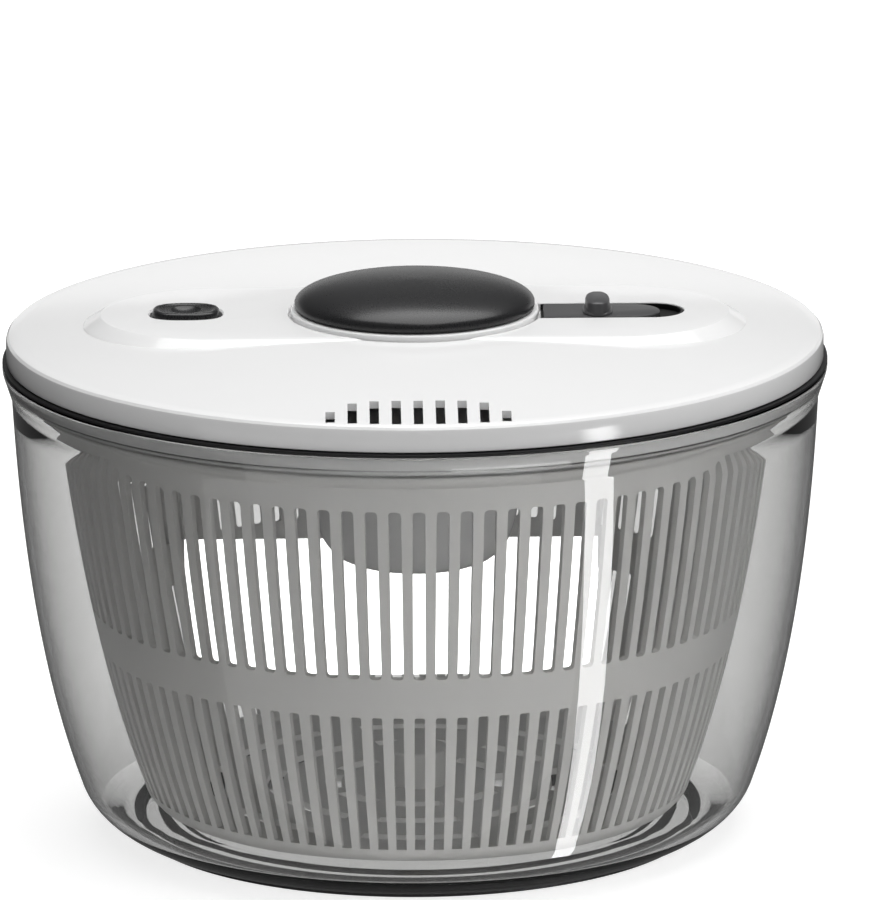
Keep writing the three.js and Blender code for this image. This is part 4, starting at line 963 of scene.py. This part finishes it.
NODE_FINISHES = {
    "basket_bearing": NATURAL_POM,
    "knob_screw": STEEL,
    "spiral_shaft": NATURAL_POM,
    "clutch_nut": NATURAL_POM,
    "clutch_washer": STEEL,
    "clutch_cap": WHITE_SATIN,
    "spring_washer": STEEL,
    "return_spring": STEEL,
    "bearing_ring": NATURAL_POM,
    "latch_bolt": WHITE_SATIN,
    "latch_screw": STEEL,
    "brake_pad": BLACK_RUBBER,
}


def finish_nodes():
    for node, finish in NODE_FINISHES.items():
        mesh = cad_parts[node].data
        mesh.materials.clear()
        mesh.materials.append(finish)
        smoothed(mesh)


# --------------------------------------------------------------------------------- the studio
# Here lengths are in metres, and a brightness of 1 is white.

CAMERA_PLACE, CAMERA_TARGET = (-0.02398, -2.9233, 0.8511), (0.00914, 0.00896, 0.1142)
CAMERA_ROLL = math.radians(-0.298)
ALL_RAYS = ("diffuse", "glossy", "transmission")
FLAG_BACK, FLAG_HEIGHT, FLAG_MIDDLE = 0.6, 1.8, -0.6
WORLD_LEVEL = 0.45  # what the world lights the object with; the camera sees white
WORLD_FADE = 0.35  # taken off for each surface that has mirrored the ray
FLOOR_SEEN = 0.78  # the floor's own brightness to the camera
FLOOR_BRIGHTEST = 1.25  # its brightness through the bowl's foot
FOOT_REACH, FOOT_GLOW = 0.104, 0.42  # radius round the foot, and what is added inside it
FLOOR_FADE = 0.55  # how clear the floor gets for each mirror surface


def aim(thing, place, target, roll=0.0):
    thing.location = place
    turn = (Vector(target) - Vector(place)).to_track_quat("-Z", "Y")
    thing.rotation_mode = "QUATERNION"
    thing.rotation_quaternion = turn @ Quaternion((0, 0, 1), roll)


def make_camera():
    lens = bpy.data.cameras.new("camera")
    lens.lens = 393.6
    lens.sensor_width = 36
    lens.clip_start, lens.clip_end = 0.1, 30
    camera = bpy.data.objects.new("camera", lens)
    scene.collection.objects.link(camera)
    aim(camera, CAMERA_PLACE, CAMERA_TARGET, CAMERA_ROLL)
    scene.camera = camera


def lamp(name, size, place, target, radiance, shown, roll=0.0):
    """A soft rectangular lamp of even brightness; shown lists the rays that see it."""
    light = bpy.data.lights.new(name, "AREA")
    light.shape = "RECTANGLE"
    light.size, light.size_y = size
    light.energy = radiance * math.pi * size[0] * size[1]
    made = bpy.data.objects.new(name, light)
    scene.collection.objects.link(made)
    aim(made, place, target, roll)
    made.visible_camera = False
    for ray in ALL_RAYS:
        setattr(made, "visible_" + ray, ray in shown)
    return made


def round_about(azimuth, distance, height):
    """A place at a bearing in degrees, from the camera's side (0) towards +X (90)."""
    turn = math.radians(azimuth)
    return distance * math.sin(turn), -distance * math.cos(turn), height


def make_lights():
    """Two softboxes light the object. The others are met only by mirrored rays, or by rays
    that have passed through the bowl, and the last is a small card inside the basket."""
    middle = (0, 0, 0.1)
    lamp("top_softbox", (1.6, 1.6), (0.15, 0.2, 1.5), middle, 2.8, ALL_RAYS)
    beside = ("diffuse", "transmission")
    lamp("right_softbox", (0.9, 0.9), (1.3, -0.6, 0.7), middle, 1.2, beside)
    front = round_about(25, 1.15, 0.32)
    lamp("front_softbox", (0.7, 0.7), front, (0, 0, 0.08), 6.2, ("transmission",))
    strip = round_about(57.0, 2.0, -1.35)
    lamp("strip", (0.31, 2.5), strip, (0, 0, -1.35), 12, ("glossy",), math.radians(12))
    below = round_about(-6.5, 2.2, -1.6)
    lamp("front_panel", (6.6, 2.6), below, (0, 0, -1.6), 0.8, ("glossy",))
    lamp("horizon_panel", (6.0, 0.7), (0, 3.0, 0.35), (0, 0, 0.35), 0.58, ("glossy",))
    inside = (-0.0075, 0.04, 0.0565)
    card = lamp("glow_card", (0.129, 0.044), inside, (-0.0075, 0, 0.0565), 2.6, ("transmission",))
    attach(card, "basket_carrier")


def make_flag(name, beside, front):
    """A black flag beside the bowl, met only by rays that a matt surface has scattered: it
    takes light off the basket's side, and isn't seen or mirrored."""
    shell = bmesh.new()
    bmesh.ops.create_grid(shell, x_segments=1, y_segments=1, size=0.5)
    bmesh.ops.scale(shell, verts=shell.verts[:], vec=(FLAG_HEIGHT, FLAG_BACK - front, 1))
    rotated(shell, 90, "Y")
    middle = (beside, (FLAG_BACK + front) / 2, FLAG_MIDDLE)
    bmesh.ops.translate(shell, verts=shell.verts[:], vec=middle)
    finish = Finish(name + "_cloth", Base_Color=(0.01, 0.01, 0.01, 1), Roughness=0.9)
    finish.clear_by(1 - finish.ray("Diffuse Depth"))
    flag = placed(name, shell, finish.material)
    flag.visible_camera = False
    flag.visible_shadow = False


def make_world():
    """A white world behind everything that lights the object at a lower, even level."""
    world = bpy.data.worlds.new("studio")
    scene.world = world
    world.use_nodes = True
    sky = Nodes(world.node_tree)
    level = sky.ray("Is Camera Ray") * (1 - WORLD_LEVEL) + WORLD_LEVEL
    mirrored = sky.ray("Glossy Depth")
    settings = {"operation": "MULTIPLY_ADD", "use_clamp": True}
    level = sky.node("ShaderNodeMath", settings, {0: mirrored, 1: -WORLD_FADE, 2: level})
    background = sky.tree.nodes["Background"]
    sky.feed(background.inputs["Color"], (1, 1, 1, 1))
    sky.feed(background.inputs["Strength"], level)


def make_floor_stage():
    """The pale floor: bright to the camera, seen through the bowl darker in front and brighter
    under the foot, and half clear to what mirrors it."""
    shell = bmesh.new()
    bmesh.ops.create_grid(shell, x_segments=1, y_segments=1, size=4)
    finish = Finish(
        "pale_floor",
        Base_Color=(0.5, 0.5, 0.5, 1),
        Roughness=0.9,
        Specular_IOR_Level=0.0,
        Emission_Strength=FLOOR_BRIGHTEST,
    )
    place = finish.place()
    away = finish.node("ShaderNodeVectorMath", {"operation": "LENGTH"}, {0: place}, "Value")
    under = finish.node("ShaderNodeMath", {"operation": "LESS_THAN"}, {0: away, 1: FOOT_REACH})
    depth = finish.node("ShaderNodeSeparateXYZ", inputs={0: place}, output="Y")
    behind = finish.node("ShaderNodeMapRange", {"clamp": True}, {
        "Value": depth, "From Min": -0.3, "From Max": -0.13, "To Min": 0.25, "To Max": 0.83,
    })
    through = finish.ray("Is Transmission Ray") * (behind + under * FOOT_GLOW)
    level = finish.ray("Is Camera Ray") * FLOOR_SEEN + through
    glow = finish.between(level * (1 / FLOOR_BRIGHTEST), (0, 0, 0), (1, 1, 1))
    finish.wear(Emission_Color=glow)
    finish.clear_by(finish.ray("Glossy Depth") * FLOOR_FADE)
    floor = placed("floor", shell, finish.material)
    floor.location.z = -0.0002
    floor.visible_glossy = False


make_camera()
make_bowl()
make_grip_rings()
make_basket()
make_lid()
make_seal_painted_shade()
make_knob_body()
make_knob_cap()
make_dome()
make_disc()
make_liner()
make_slide()
make_brake()
make_brake_spring()
finish_nodes()
make_lights()
make_flag("left_flag", -0.24, -0.16)
make_flag("right_flag", 0.24, -0.07)
make_world()
make_floor_stage()
scene.view_settings.view_transform = "Standard"
